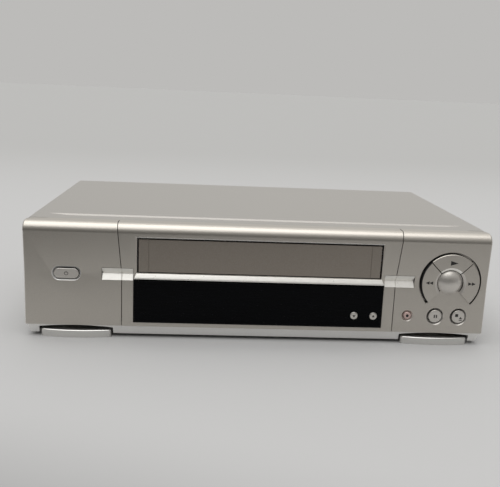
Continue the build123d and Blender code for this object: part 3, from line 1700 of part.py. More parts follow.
clutch_z = reel_base_z + 0.6
with BuildPart() as clutch_wheel:
    column(clutch_at, clutch_radius, clutch_z + 0.4, clutch_z + 4.0)
    column(clutch_at, clutch_pulley_radius, belt_low, belt_low + pulley_height)
    column(clutch_at, clutch_pulley_radius + 1.6, belt_low - 1.0, belt_low)
    column(clutch_at, spindle_radius, belt_low - 3.0, clutch_z + 8.0)
save(clutch_wheel, "clutch_wheel")

idler_distance = clutch_radius + idler_radius + wheel_gap
idler_at = (0.0, clutch_at[1] + idler_distance)
arm_z = clutch_z + 4.5
with BuildPart() as idler_arm:
    with BuildSketch(Plane.XY.offset(arm_z)) as arm_plan:
        with Locations(clutch_at):
            Circle(5.0)
        with Locations(idler_at):
            Circle(4.0)
        make_hull()
    extrude(arm_plan.sketch, amount=1.5)
    column(clutch_at, spindle_radius + running_gap, arm_z - 1, arm_z + 3, mode=Mode.SUBTRACT)
    column(idler_at, 1.5, clutch_z, arm_z + 0.5)
    column(idler_at, 2.6, clutch_z - 0.5, clutch_z + 0.2)
save(idler_arm, "idler_arm")

with BuildPart() as idler_wheel:
    column(idler_at, idler_radius, clutch_z + 0.5, clutch_z + 3.5)
    with Locations((idler_at[0], idler_at[1], clutch_z + 3.5)):
        Cylinder(idler_radius - 2, 1.2, mode=Mode.SUBTRACT)
    column(idler_at, 4.0, clutch_z + 0.5, clutch_z + 4.0)
    column(idler_at, 1.5 + running_gap, clutch_z, clutch_z + 5, mode=Mode.SUBTRACT)
save(idler_wheel, "idler_wheel")

with BuildPart() as capstan:
    column(capstan_at, capstan_radius, flywheel_z - 1.5, capstan_top)
    column(capstan_at, flywheel_radius, flywheel_z, flywheel_z + flywheel_height)
    column(capstan_at, capstan_pulley_radius, belt_low, belt_low + pulley_height)
save(capstan, "capstan")

stator_z = flywheel_z - 4.2
with BuildPart() as capstan_motor:
    column(capstan_at, flywheel_radius + 6.0, stator_z, stator_z + 1.2)
    column(capstan_at, flywheel_radius - 4.0, stator_z, stator_z + 3.4)
    column(capstan_at, 6.0, stator_z + 1.2, stator_z + 6, mode=Mode.SUBTRACT)
    column(capstan_at, 4.0, stator_z, stator_z + 2.6)
    column(capstan_at, capstan_radius + running_gap, stator_z + 1.6, stator_z + 6, mode=Mode.SUBTRACT)
    for angle in (60, 205, 290):
        turn = math.radians(angle)
        post = (
            capstan_at[0] + (flywheel_radius + 3.5) * math.cos(turn),
            capstan_at[1] + (flywheel_radius + 3.5) * math.sin(turn),
        )
        column(post, 1.8, stator_z, deck_z)
save(capstan_motor, "capstan_motor")

with BuildPart() as pinch_arm:
    with BuildSketch(Plane.XY.offset(pinch_arm_z)) as arm_plan:
        with Locations(pinch_at):
            Circle(5.0)
        with Locations(pinch_roller_at):
            Circle(3.4)
        make_hull()
    extrude(arm_plan.sketch, amount=2.4)
    column(pinch_at, 3.6, pinch_arm_z, pinch_arm_z + 5.5)
    column(pinch_at, spindle_radius + running_gap, pinch_arm_z - 1, pinch_arm_z + 7, mode=Mode.SUBTRACT)
    column(pinch_roller_at, 1.5, pinch_arm_z + 1, pinch_roller_z + 20.5)
    column(pinch_roller_at, 2.6, pinch_arm_z + 1, pinch_roller_z - 0.3)
save(pinch_arm, "pinch_arm")

with BuildPart() as pinch_roller:
    column(pinch_roller_at, pinch_roller_radius, pinch_roller_z, pinch_roller_z + 17.0)
    column(pinch_roller_at, 3.0, pinch_roller_z, pinch_roller_z + 18.0)
    column(
        pinch_roller_at, 1.5 + running_gap, pinch_roller_z - 1, pinch_roller_z + 20, mode=Mode.SUBTRACT
    )
save(pinch_roller, "pinch_roller")

# ================================================================ tape deck: drum and heads
tilt = math.radians(drum_tilt)
drum_plane = Plane(
    origin=(0, back(drum_back), deck_top + drum_lower_base),
    x_dir=(math.cos(tilt), 0, -math.sin(tilt)),
    z_dir=(math.sin(tilt), 0, math.cos(tilt)),
)

with BuildPart() as lower_drum:
    with Locations(drum_plane):
        Cylinder(drum_radius, drum_lower_height, align=(Align.CENTER, Align.CENTER, Align.MIN))
        with Locations((0, 0, drum_lower_height)):
            Cylinder(drum_radius - 2.5, 2 * 8.0, mode=Mode.SUBTRACT)
            Cylinder(
                drum_shaft_radius + 3.5,
                8.4,
                align=(Align.CENTER, Align.CENTER, Align.MAX),
            )
    column((0, back(drum_back)), drum_radius - 9, deck_top, deck_top + drum_lower_base + 4)
    for angle in (90, 210, 330):
        turn = math.radians(angle)
        column(
            (
                (drum_radius - 8) * math.cos(turn),
                back(drum_back) + (drum_radius - 8) * math.sin(turn),
            ),
            4.0,
            deck_top,
            deck_top + drum_lower_base + 4,
        )
    with Locations(drum_plane):
        with Locations((0, 0, drum_lower_height)):
            Cylinder(drum_shaft_radius + running_gap, 2 * 7.0, mode=Mode.SUBTRACT)
save(lower_drum, "lower_drum")

with BuildPart() as upper_drum:
    with Locations(drum_plane):
        with Locations((0, 0, drum_lower_height + drum_gap)):
            Cylinder(drum_radius, drum_upper_height, align=(Align.CENTER, Align.CENTER, Align.MIN))
            Cylinder(
                drum_shaft_radius, drum_gap + 6.4, align=(Align.CENTER, Align.CENTER, Align.MAX)
            )
        with Locations((0, 0, drum_lower_height + drum_gap + drum_upper_height)):
            Cylinder(drum_radius - drum_rim, 2 * drum_rim_height, mode=Mode.SUBTRACT)
        with Locations((0, 0, drum_lower_height + drum_gap + drum_upper_height - drum_rim_height - 0.1)):
            Cylinder(
                drum_rotor_radius, drum_rotor_height, align=(Align.CENTER, Align.CENTER, Align.MIN)
            )
            Cylinder(
                drum_shaft_radius + 4,
                drum_rotor_height + 2.0,
                align=(Align.CENTER, Align.CENTER, Align.MIN),
            )
        # Windows in the lower edge for the two video heads, with the head chips in them.
        with Locations((0, 0, drum_lower_height + drum_gap + head_chip)):
            with PolarLocations(drum_radius, 2):
                Box(2 * head_window, head_window, head_window, mode=Mode.SUBTRACT)
            with PolarLocations(drum_radius - head_chip, 2):
                Box(2 * head_chip, head_chip, head_chip)
save(upper_drum, "upper_drum")

with BuildPart() as tape_heads:
    # Each head is a block on a post on its foot, with a core that looks towards the tape.
    for x, depth in (audio_head_at, erase_head_at):
        for half, bottom, top in (
            (head_half + 0.5, 0, head_foot),
            (head_half, head_bottom, head_top),
        ):
            limits = (deck_top + bottom, deck_top + top)
            block((x - half, x + half), (back(depth - half), back(depth + half)), limits)
        column((x, back(depth)), head_post_radius, deck_top, deck_top + head_bottom + 1)
    core = (deck_top + head_bottom + 2, deck_top + head_top - 2)
    x, depth = audio_head_at
    block((x - head_core_half, x + head_core_half), (back(depth - head_half - 0.8), back(depth - 4)), core)
    x, depth = erase_head_at
    block((x + 4, x + head_half + 0.8), (back(depth - head_core_half), back(depth + head_core_half)), core)
save(tape_heads, "tape_heads")

# ================================================================ tape deck: loading parts


def loading_guide(side):
    """A tape guide: a boat on the deck, a roller post, and a pin that runs in the deck's slot."""
    at = (side * guide_start[0], back(guide_start[1]))
    with BuildPart() as guide:
        column(at, guide_boat_radius, deck_top + 0.3, deck_top + 3.0)
        column(at, guide_pin_radius, deck_z - 1.5, deck_top + 1)
        column(at, 3.2, deck_z - 2.3, deck_z - 0.3)
        column(at, 1.6, deck_top + 2, guide_top)
        column(at, 2.8, guide_top - 18.0, guide_top - 2.0)
        column(at, 3.6, guide_top - 19.0, guide_top - 18.0)
        column(at, 3.6, guide_top - 2.0, guide_top - 1.0)
    return guide


supply_guide = loading_guide(-1)
save(supply_guide, "supply_guide")

takeup_guide = loading_guide(1)
save(takeup_guide, "takeup_guide")

with BuildPart() as cam_wheel:
    column(cam_at, cam_radius, cam_z, cam_z + cam_height)
    column(cam_at, 5.5, cam_z, loading_belt_z)
    column(cam_at, loading_pulley_radius + 1.6, loading_belt_z - 1.2, loading_belt_z - 0.2)
    column(cam_at, loading_pulley_radius, loading_belt_z - 0.3, loading_belt_z + pulley_height)
    # Curved cam track pressed into the disc.
    with BuildSketch(Plane.XY.offset(cam_z + cam_height - 1.6)) as track:
        with Locations((cam_at[0] + 2.0, cam_at[1])):
            Circle(14.0)
            Circle(11.6, mode=Mode.SUBTRACT)
    extrude(track.sketch, amount=3, mode=Mode.SUBTRACT)
    column(cam_at, spindle_radius + running_gap, cam_z - 1, loading_belt_z + 5, mode=Mode.SUBTRACT)
save(cam_wheel, "cam_wheel")

with BuildPart() as loading_motor:
    column(motor_at, motor_radius, deck_top, deck_top + motor_height - 2)
    fillet(loading_motor.faces().sort_by(Axis.Z)[-1].edges(), radius=1.2)
    column(motor_at, 3.4, deck_top + motor_height - 3, deck_top + motor_height - 1)
    block(
        (motor_at[0] - 11, motor_at[0] + 11), (motor_at[1] - 6, motor_at[1] + 6), (deck_top, deck_top + 1.0)
    )
    column(motor_at, 1.0 + running_gap, deck_top + 8, deck_top + motor_height, mode=Mode.SUBTRACT)
save(loading_motor, "loading_motor")

with BuildPart() as motor_pulley:
    column(motor_at, 1.0, deck_top + 9, loading_belt_z + 1)
    column(motor_at, motor_pulley_radius, loading_belt_z - 0.3, loading_belt_z + pulley_height)
    column(motor_at, motor_pulley_radius + 1.4, loading_belt_z - 1.2, loading_belt_z - 0.2)
save(motor_pulley, "motor_pulley")

with BuildPart() as tension_arm:
    with BuildSketch(Plane.XY.offset(deck_top + 1.2)) as arm_plan:
        with Locations(tension_at):
            Circle(5.0)
        with Locations(tension_post_at):
            Circle(3.0)
        make_hull()
    extrude(arm_plan.sketch, amount=2.0)
    column(tension_at, 3.6, deck_top + 1.2, deck_top + 5.4)
    column(tension_at, spindle_radius + running_gap, deck_top, deck_top + 8, mode=Mode.SUBTRACT)
    column(tension_post_at, 1.8, deck_top + 2, guide_top)
    column(tension_post_at, 2.8, guide_top - 1.2, guide_top)
    column(tension_post_at, 2.8, guide_top - 18.0, guide_top - 16.8)
save(tension_arm, "tension_arm")


def belt(at_a, radius_a, at_b, radius_b, bottom):
    """Adds a flat rubber belt round two pulleys to the piece being made."""
    for grow, mode in ((belt_gap + belt_thickness, Mode.ADD), (belt_gap, Mode.SUBTRACT)):
        with BuildSketch(Plane.XY.offset(bottom)) as loop:
            with Locations(at_a):
                Circle(radius_a + grow)
            with Locations(at_b):
                Circle(radius_b + grow)
            make_hull()
        extrude(loop.sketch, amount=belt_width, mode=mode)


with BuildPart() as loading_belt_loop:
    belt(motor_at, motor_pulley_radius, cam_at, loading_pulley_radius, loading_belt_z + 0.2)

with BuildPart() as drive_belts:
    belt(capstan_at, capstan_pulley_radius, clutch_at, clutch_pulley_radius, belt_low + 0.3)
    add(loading_belt_loop.part)
save(drive_belts, "drive_belts")

# ================================================================ mains cord


def cord_tube(route):
    """Adds the cord along a route of points (x, behind the face, z), with a large arc at each corner."""
    points = [Vector(x, back(depth), z) for x, depth, z in route]
    radii = []
    for before, corner, after in zip(points, points[1:], points[2:]):
        arriving, leaving = corner - before, after - corner
        half_turn = math.radians(arriving.get_angle(leaving)) / 2
        radii.append(0.45 * min(arriving.length, leaving.length) / math.tan(half_turn))
    print("cord radii", [round(radius, 1) for radius in radii])
    with BuildLine() as path:
        FilletPolyline(*points, radius=radii)
    with BuildSketch(Plane(origin=points[0], z_dir=points[1] - points[0])) as section:
        Circle(cord_radius)
    sweep(section.sketch, path=path.line)
    return path.wire().length


with BuildPart() as strain_relief:
    rod_y(cord_x, cord_z, relief_neck_radius, panel_front - 3.0, body_depth + 0.1)
    rod_y(cord_x, cord_z, relief_neck_radius + 1.8, panel_front - 4.0, panel_front)
    rod_y(cord_x, cord_z, relief_neck_radius + 1.8, body_depth, body_depth + 2.0)
    with Locations(Plane(origin=(cord_x, back(body_depth + 1.9), cord_z), z_dir=(0, 1, 0))):
        Cone(
            relief_neck_radius,
            cord_radius + 0.7,
            relief_length - 1.9,
            align=(Align.CENTER, Align.CENTER, Align.MIN),
        )
save(strain_relief, "strain_relief")

plug_z = plug_thickness / 2
lead_route = [
    (cord_x, body_depth + relief_length, cord_z),
    (cord_x, body_depth + 45.0, cord_z),
    (63.0, body_depth + 67.0, 10.5),
    (80.0, hank_back - 14.5, cord_radius),
    (hank_shoulders[1], hank_back - 14.5, cord_radius),
]
tail_route = [
    (hank_left + hank_end_round, hank_back + 22.7, cord_radius),
    (-56.0, hank_back + 22.7, cord_radius),
    (-80.0, hank_back + 2.0, cord_radius),
    (-95.0, plug_back, plug_z),
    (plug_x, plug_back, plug_z),
]
with BuildPart() as tail_tube:
    tail_length = cord_tube(tail_route)

with BuildPart() as cord_lead:
    lead_length = cord_tube(lead_route)
    add(tail_tube.part)
straight_volume = math.pi * cord_radius**2 * (lead_length + tail_length)
print("cord volume", round(cord_lead.part.volume, 1), "expected", round(straight_volume, 1))
save(cord_lead, "cord_lead")

with BuildPart() as cord_hank:
    front, rear = -hank_fan_half, hank_fan_half
    with BuildSketch() as hank_plan:
        with BuildLine():
            Polyline(
                (hank_right - hank_end_round, back(hank_back + front)),
                (hank_shoulders[1], back(hank_back + front)),
                (hank_shoulders[1], back(hank_back - hank_half)),
                (hank_shoulders[0], back(hank_back - hank_half)),
                (hank_shoulders[0], back(hank_back + front)),
                (hank_left + hank_end_round, back(hank_back + front)),
            )
            ThreePointArc(
                (hank_left + hank_end_round, back(hank_back + front)),
                (hank_left, back(hank_back)),
                (hank_left + hank_end_round, back(hank_back + rear)),
            )
            Polyline(
                (hank_left + hank_end_round, back(hank_back + rear)),
                (hank_shoulders[0], back(hank_back + rear)),
                (hank_shoulders[0], back(hank_back + hank_half)),
                (hank_shoulders[1], back(hank_back + hank_half)),
                (hank_shoulders[1], back(hank_back + rear)),
                (hank_right - hank_end_round, back(hank_back + rear)),
            )
            ThreePointArc(
                (hank_right - hank_end_round, back(hank_back + rear)),
                (hank_right, back(hank_back)),
                (hank_right - hank_end_round, back(hank_back + front)),
            )
        make_face()
    extrude(hank_plan.sketch, amount=hank_height)
    chamfer(cord_hank.faces().sort_by(Axis.Z)[-1].edges(), length=1.5)
    # Waist that the tie is pulled tight round.
    block(
        (tie_x - tie_width / 2, tie_x + tie_width / 2),
        (back(hank_back - hank_half - 1), back(hank_back + hank_half + 1)),
        (-1, hank_height + 1),
        mode=Mode.SUBTRACT,
    )
    core_half = hank_half - hank_squeeze
    block(
        (tie_x - tie_width / 2 - 0.1, tie_x + tie_width / 2 + 0.1),
        (back(hank_back - core_half), back(hank_back + core_half)),
        (tie_thickness, hank_height - hank_squeeze),
    )
save(cord_hank, "cord_hank")

with BuildPart() as cord_tie:
    core_top = hank_height - hank_squeeze
    block(
        (tie_x - tie_width / 2, tie_x + tie_width / 2),
        (back(hank_back - core_half - tie_thickness), back(hank_back + core_half + tie_thickness)),
        (0, core_top + tie_thickness),
    )
    block(
        (tie_x - tie_width, tie_x + tie_width),
        (back(hank_back - core_half), back(hank_back + core_half)),
        (tie_thickness, core_top),
        mode=Mode.SUBTRACT,
    )
    # Twisted ends on top.
    with Locations(
        Plane(origin=(tie_x, back(hank_back), hank_height - 0.3), z_dir=(0.1, 1, 0.4))
    ):
        Cylinder(1.1, 12.0, align=(Align.CENTER, Align.CENTER, Align.MIN))
save(cord_tie, "cord_tie")

with BuildPart() as mains_plug:
    with Locations(Plane(origin=(plug_x, back(plug_back), plug_z), z_dir=(-1, 0, 0))):
        Cone(cord_radius + 0.6, 5.6, plug_boot, align=(Align.CENTER, Align.CENTER, Align.MIN))
    with BuildSketch(Plane.XY) as body_plan:
        body_x = plug_x - plug_boot + 0.5
        half = plug_width / 2
        Polygon(
            (body_x, back(plug_back - plug_shoulder)),
            (body_x - plug_shoulder, back(plug_back - half)),
            (body_x - plug_body, back(plug_back - half)),
            (body_x - plug_body, back(plug_back + half)),
            (body_x - plug_shoulder, back(plug_back + half)),
            (body_x, back(plug_back + plug_shoulder)),
            align=None,
        )
    extrude(body_plan.sketch, amount=plug_thickness)
    chamfer(mains_plug.faces().sort_by(Axis.Z)[-1].edges(), length=1.2)
    for side in (-1, 1):
        y = back(plug_back) + side * plug_pin_spacing / 2
        pin_root = body_x - plug_body
        rod_x(y, plug_z, plug_pin_radius, pin_root - plug_pin_length, pin_root + 1)
save(mains_plug, "mains_plug")
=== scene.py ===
import json
import math

import bmesh
import bpy
from mathutils import Matrix, Vector

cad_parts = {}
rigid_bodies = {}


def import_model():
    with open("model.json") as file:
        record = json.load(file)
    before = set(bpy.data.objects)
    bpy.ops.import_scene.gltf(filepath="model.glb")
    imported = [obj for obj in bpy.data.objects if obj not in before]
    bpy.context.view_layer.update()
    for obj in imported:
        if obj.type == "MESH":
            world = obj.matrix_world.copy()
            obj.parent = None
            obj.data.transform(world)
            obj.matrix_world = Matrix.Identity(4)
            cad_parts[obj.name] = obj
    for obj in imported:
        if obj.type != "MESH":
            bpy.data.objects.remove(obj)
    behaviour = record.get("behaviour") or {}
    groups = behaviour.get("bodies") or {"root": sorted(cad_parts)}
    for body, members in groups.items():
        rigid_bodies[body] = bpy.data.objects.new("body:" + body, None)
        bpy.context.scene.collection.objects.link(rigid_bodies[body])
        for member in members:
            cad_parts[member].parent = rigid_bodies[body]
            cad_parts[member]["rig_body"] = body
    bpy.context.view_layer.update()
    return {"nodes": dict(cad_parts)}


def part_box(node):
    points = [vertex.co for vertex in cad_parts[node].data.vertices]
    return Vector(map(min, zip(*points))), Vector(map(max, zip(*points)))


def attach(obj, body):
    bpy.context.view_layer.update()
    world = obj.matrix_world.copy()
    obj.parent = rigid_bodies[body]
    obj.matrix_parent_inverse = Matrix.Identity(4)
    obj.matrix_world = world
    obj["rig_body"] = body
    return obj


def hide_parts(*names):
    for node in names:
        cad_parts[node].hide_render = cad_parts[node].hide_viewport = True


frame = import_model()

# ---------------------------------------------------------------- viewpoint
# A camera stands a little to the left of the recorder, above its top, and looks slightly down
# on the front. It is turned a little about its own axis, so the recorder runs down to the right.
eye = Vector((-0.04365, -0.65172, 0.20443))
looking = Vector((0.06178, 0.97310, -0.22195)).normalized()
turned = 0.04404
level_right = looking.cross(Vector((0, 0, 1))).normalized()
level_up = level_right.cross(looking)
right = level_right * math.cos(turned) + level_up * math.sin(turned)
up = level_up * math.cos(turned) - level_right * math.sin(turned)
lens = bpy.data.cameras.new("front_view")
lens.lens = 49.03
lens.sensor_width = 36.0
lens.sensor_fit = "HORIZONTAL"
lens.clip_start = 0.01
camera = bpy.data.objects.new("front_view", lens)
camera.matrix_world = Matrix.Translation(eye) @ Matrix((right, up, -looking)).transposed().to_4x4()
bpy.context.scene.collection.objects.link(camera)
bpy.context.scene.camera = camera

# ---------------------------------------------------------------- mains cord
# A round two-core cord in soft black PVC, extruded round its cores, leaves the rear panel through
# a moulded relief and ends in a moulded plug with plated pins. What isn't in use is wound into a
# flat hank of three turns and a half, held by a vinyl tie that is wrapped once and twisted.


def linear(code):
    """The linear colour of an sRGB hex value."""
    parts = [int(code[i : i + 2], 16) / 255 for i in (0, 2, 4)]
    light = [p / 12.92 if p <= 0.04045 else ((p + 0.055) / 1.055) ** 2.4 for p in parts]
    return (*light, 1.0)


def add(tree, kind, inputs=None, **settings):
    """Adds a node. An input takes a plain value, or the output of another node."""
    made = tree.nodes.new("ShaderNode" + kind)
    for name, value in settings.items():
        setattr(made, name, value)
    for name, value in (inputs or {}).items():
        if isinstance(value, bpy.types.NodeSocket):
            tree.links.new(value, made.inputs[name])
        else:
            made.inputs[name].default_value = value
    return made.outputs[0] if made.outputs else made


def per_metre(size):
    """The scale of a pattern whose features are a size in millimetres."""
    return 1000 / size


def blank(name):
    """A material, its empty node tree, and where a point lies on the recorder, in metres."""
    material = bpy.data.materials.new(name)
    material.use_nodes = True
    tree = material.node_tree
    tree.nodes.clear()
    return material, tree, tree.nodes.new("ShaderNodeTexCoord").outputs["Object"]


# Soft PVC is black with a faint bloom in patches of 4 or 5 mm, and ripples a little where the
# extruder pulled it.
soft_pvc, tree, spot = blank("soft_pvc")
bloom = add(tree, "TexNoise", {"Vector": spot, "Scale": per_metre(4.55), "Detail": 3.0})
ripple = add(tree, "TexNoise", {"Vector": spot, "Scale": per_metre(1.25), "Detail": 1.0})
colour = add(tree, "MixRGB", {"Fac": bloom, "Color1": linear("101113"), "Color2": linear("343537")})
bumps = add(tree, "Bump", {"Height": ripple, "Distance": 0.00008, "Strength": 1.0})
skin = add(
    tree,
    "BsdfPrincipled",
    {"Base Color": colour, "Roughness": 0.46, "IOR": 1.53, "Normal": bumps},
)
add(tree, "OutputMaterial", {"Surface": skin})

cord_thickness = 0.005
floor_z = cord_thickness / 2  # a strand that lies on the floor
upper_z = floor_z + cord_thickness  # a strand that lies on another
hank_y = 0.2065  # the line that the hank lies along


def end_loop(x, y, radius, z, facing):
    """Points round one end of a turn: facing is 1 at the right end and -1 at the left."""
    corner = radius / math.cos(math.radians(15))
    points = []
    for step in (-75, -45, -15, 15, 45, 75):
        angle = math.radians(step)
        across, along = corner * math.cos(angle), corner * math.sin(angle)
        points.append((x + facing * across, hank_y + y + facing * along, z))
    return points


def run(y_right, y_waist, y_left, z_right, z_waist, z_left):
    """Points along the hank from its right end to its left, pulled together under the tie."""
    return [
        (0.101, hank_y + 0.03 * y_waist + 0.97 * y_right, z_right),
        (0.087, hank_y + 0.22 * y_waist + 0.78 * y_right, z_right),
        (0.066, hank_y + 0.7 * y_waist + 0.3 * y_right, 0.5 * (z_right + z_waist)),
        (0.042, hank_y + y_waist, z_waist),
        (0.018, hank_y + y_waist, z_waist),
        (0.0035, hank_y + 0.5 * y_waist + 0.5 * y_left, 0.5 * (z_waist + z_left)),
        (-0.0060, hank_y + 0.03 * y_waist + 0.97 * y_left, z_left),
    ]


tie_low, tie_high = 0.0033, 0.0076  # the two layers of strands where the tie holds them
outer_turn, inner_turn = 0.021, 0.0165  # radius of the end loops
route = [
    (0.0570, 0.1355, 0.0220),
    (0.0570, 0.1585, 0.0220),
    (0.0630, 0.1795, 0.0105),
    (0.0780, 0.1880, floor_z),
    (0.1000, 0.1850, floor_z),
]
route += end_loop(0.1105, -0.0015, outer_turn, floor_z, 1)
route += run(0.0195, 0.0050, 0.0183, floor_z, tie_low, floor_z)
route += end_loop(-0.0155, -0.0027, outer_turn, floor_z, -1)
route += reversed(run(-0.0175, -0.0050, -0.0237, floor_z, tie_low, floor_z))
route += end_loop(0.1080, -0.0015, inner_turn, floor_z, 1)
route += run(0.0150, 0.0, 0.0138, floor_z, tie_low, floor_z)
route += end_loop(-0.0130, -0.0027, inner_turn, floor_z, -1)
route += reversed(run(-0.0155, -0.0025, -0.0192, upper_z, tie_high, floor_z))
route += end_loop(0.1050, 0.0010, inner_turn, upper_z, 1)
route += run(0.0175, 0.0025, 0.0180, upper_z, tie_high, upper_z)
route += end_loop(-0.0110, -0.0010, 0.019, upper_z, -1)
route += reversed(run(-0.0200, -0.0075, -0.0200, upper_z, tie_high, upper_z))
route += end_loop(0.1090, 0.0010, outer_turn, upper_z, 1)
route += run(0.0220, 0.0075, 0.0230, upper_z, tie_high, upper_z)[:5]
route += [
    (0.0035, hank_y + 0.0185, upper_z),
    (-0.0090, hank_y + 0.0240, 0.0065),
    (-0.0240, hank_y + 0.0262, floor_z),
    (-0.0560, 0.2305, floor_z),
    (-0.0800, 0.2085, floor_z),
    (-0.0950, 0.2015, 0.00685),
    (-0.1080, 0.2015, 0.00685),
]
line = bpy.data.curves.new("mains_cord", "CURVE")
line.dimensions = "3D"
strand = line.splines.new("NURBS")
strand.points.add(len(route) - 1)
for point, (x, y, z) in zip(strand.points, route):
    point.co = (x, y, z, 1.0)
strand.order_u = 3
strand.use_endpoint_u = True
strand.resolution_u = 6
line.bevel_depth = cord_thickness / 2
line.bevel_resolution = 5
line.use_fill_caps = True
line.materials.append(soft_pvc)
mains_cord = bpy.data.objects.new("mains_cord", line)
bpy.context.scene.collection.objects.link(mains_cord)
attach(mains_cord, "case")
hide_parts("cord_lead", "cord_hank")


def show(name, shape, body, slot, *materials):
    """Turns a finished shape into a piece of the recorder that rides on a body."""
    mesh = bpy.data.meshes.new(name)
    shape.to_mesh(mesh)
    shape.free()
    for material in materials:
        mesh.materials.append(material)
    piece = bpy.data.objects.new(name, mesh)
    bpy.context.scene.collection.objects.link(piece)
    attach(piece, body)
    return piece


def smooth(piece, angle):
    """Smooth shading up to an angle, with the flat faces kept flat."""
    piece.data.polygons.foreach_set("use_smooth", [True] * len(piece.data.polygons))
    piece.data.set_sharp_from_angle(angle=math.radians(angle))
    level = piece.modifiers.new("flat_faces", "WEIGHTED_NORMAL")
    level.keep_sharp = True


def cut(shape, y):
    """Parts the faces of a shape along an upright plane that is parallel to the front."""
    everything = shape.verts[:] + shape.edges[:] + shape.faces[:]
    bmesh.ops.bisect_plane(shape, geom=everything, plane_co=(0, y, 0), plane_no=(0, 1, 0))


face_y = -0.1185  # the foremost line of the front mouldings
face_end, face_low, face_high = 0.1885, 0.0105, 0.0935  # holes in the face lie inside these


def eased(name, node, radius, slot, *materials, painted=None, segments=2, angle=28):
    """A CAD solid with its sharp edges eased, as they leave a mould or a press.

    Behind a depth, if one is given, spray has reached only what looks forwards, or lies outside.
    """
    solid = frame["nodes"][node]
    shape = bmesh.new()
    shape.from_mesh(solid.data)
    bmesh.ops.remove_doubles(shape, verts=shape.verts, dist=1e-6)
    flat = math.radians(0.4)
    bmesh.ops.dissolve_limit(shape, angle_limit=flat, verts=shape.verts, edges=shape.edges)
    sharp = [e for e in shape.edges if e.is_manifold and e.calc_face_angle() > math.radians(angle)]
    bmesh.ops.bevel(
        shape, geom=sharp, offset=radius, segments=segments, profile=0.5, affect="EDGES",
        clamp_overlap=True, material=-1,
    )
    if painted is not None:
        cut(shape, face_y + painted)
        for face in shape.faces:
            x, y, z = face.calc_center_median()
            inside = abs(x) < face_end and face_low < z < face_high and y > face_y + painted
            face.material_index = int(inside and face.normal.y > -0.2)
    piece = show(name, shape, solid["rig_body"], slot, *materials)
    smooth(piece, 32)
    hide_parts(node)
    return piece


def dress(material, *nodes):
    """Gives CAD solids their finish."""
    for node in nodes:
        frame["nodes"][node].material_slots[0].material = material


# Hard PVC is a little glossier, with the grain of a spark-eroded mould. The real grain of 0.05 mm
# wouldn't show, so it is drawn 0.4 mm wide.
hard_pvc, tree, spot = blank("hard_pvc")
cloud = add(tree, "TexNoise", {"Vector": spot, "Scale": per_metre(3.33), "Detail": 3.0})
grain = add(tree, "TexNoise", {"Vector": spot, "Scale": per_metre(0.4), "Detail": 2.0})
colour = add(tree, "MixRGB", {"Fac": cloud, "Color1": linear("141416"), "Color2": linear("2c2d2f")})
bumps = add(tree, "Bump", {"Height": grain, "Distance": 0.00003, "Strength": 1.0})
skin = add(
    tree,
    "BsdfPrincipled",
    {"Base Color": colour, "Roughness": 0.36, "IOR": 1.53, "Normal": bumps},
)
add(tree, "OutputMaterial", {"Surface": skin})

# Nickel plate on brass is warm grey, bright, and clouded by handling.
nickel_plate, tree, spot = blank("nickel_plate")
haze = add(tree, "TexNoise", {"Vector": spot, "Scale": per_metre(2.86), "Detail": 4.0})
gloss = add(tree, "MapRange", {"Value": haze, "To Min": 0.16, "To Max": 0.34})
colour = add(tree, "MixRGB", {"Fac": haze, "Color1": linear("b9b2a4"), "Color2": linear("d6d0c4")})
skin = add(tree, "BsdfPrincipled", {"Base Color": colour, "Metallic": 1.0, "Roughness": gloss})
add(tree, "OutputMaterial", {"Surface": skin})

plug = eased("moulded_plug", "mains_plug", 0.0006, "cord_plastic", hard_pvc, segments=3)
plug.data.materials.append(nickel_plate)
plug_end = -0.1601  # the pins stand out of the plug beyond this
for face in plug.data.polygons:
    if face.center.x < plug_end:
        face.material_index = 1
dress(soft_pvc, "strain_relief")

# Coral vinyl is soft, half matt and a little paler where it is bent.
tie_vinyl, tree, spot = blank("tie_vinyl")
crease = add(tree, "TexNoise", {"Vector": spot, "Scale": per_metre(2), "Detail": 3.0})
colour = add(
    tree, "MixRGB", {"Fac": crease, "Color1": linear("a94a46"), "Color2": linear("d4776c")}
)
bumps = add(tree, "Bump", {"Height": crease, "Distance": 0.0001, "Strength": 1.0})
skin = add(tree, "BsdfPrincipled", {"Base Color": colour, "Roughness": 0.44, "Normal": bumps})
add(tree, "OutputMaterial", {"Surface": skin})
dress(tie_vinyl, "cord_tie")

# ---------------------------------------------------------------- front mouldings
# Three ABS mouldings make the face: one round the cassette opening and one at each end, with two
# seams between them. They are sprayed in champagne silver lacquer, and hook on to the tray.

# Metallic lacquer shows fine bright flakes, a slight orange peel and a soft sheen. Flakes of
# 0.05 mm wouldn't show, so they are drawn 0.7 mm wide, here and in every lacquer below.
lacquer_flake = {"Scale": per_metre(0.667), "Detail": 2.0, "Roughness": 0.7}
silver_lacquer, tree, spot = blank("silver_lacquer")
flake = add(tree, "TexNoise", {"Vector": spot, **lacquer_flake})
cloud = add(tree, "TexNoise", {"Vector": spot, "Scale": per_metre(71.4), "Detail": 2.0})
peel = add(tree, "TexNoise", {"Vector": spot, "Scale": per_metre(1.43), "Detail": 1.0})
colour = add(tree, "MixRGB", {"Fac": flake, "Color1": linear("b0aba3"), "Color2": linear("d2cdc5")})
colour = add(tree, "MixRGB", {"Fac": cloud, "Color1": colour, "Color2": linear("c2bdb5")})
gloss = add(tree, "MapRange", {"Value": flake, "To Min": 0.30, "To Max": 0.42})
bumps = add(tree, "Bump", {"Height": peel, "Distance": 0.00002, "Strength": 1.0})
skin = add(
    tree,
    "BsdfPrincipled",
    {"Base Color": colour, "Metallic": 0.85, "Roughness": gloss, "Normal": bumps},
)
add(tree, "OutputMaterial", {"Surface": skin})

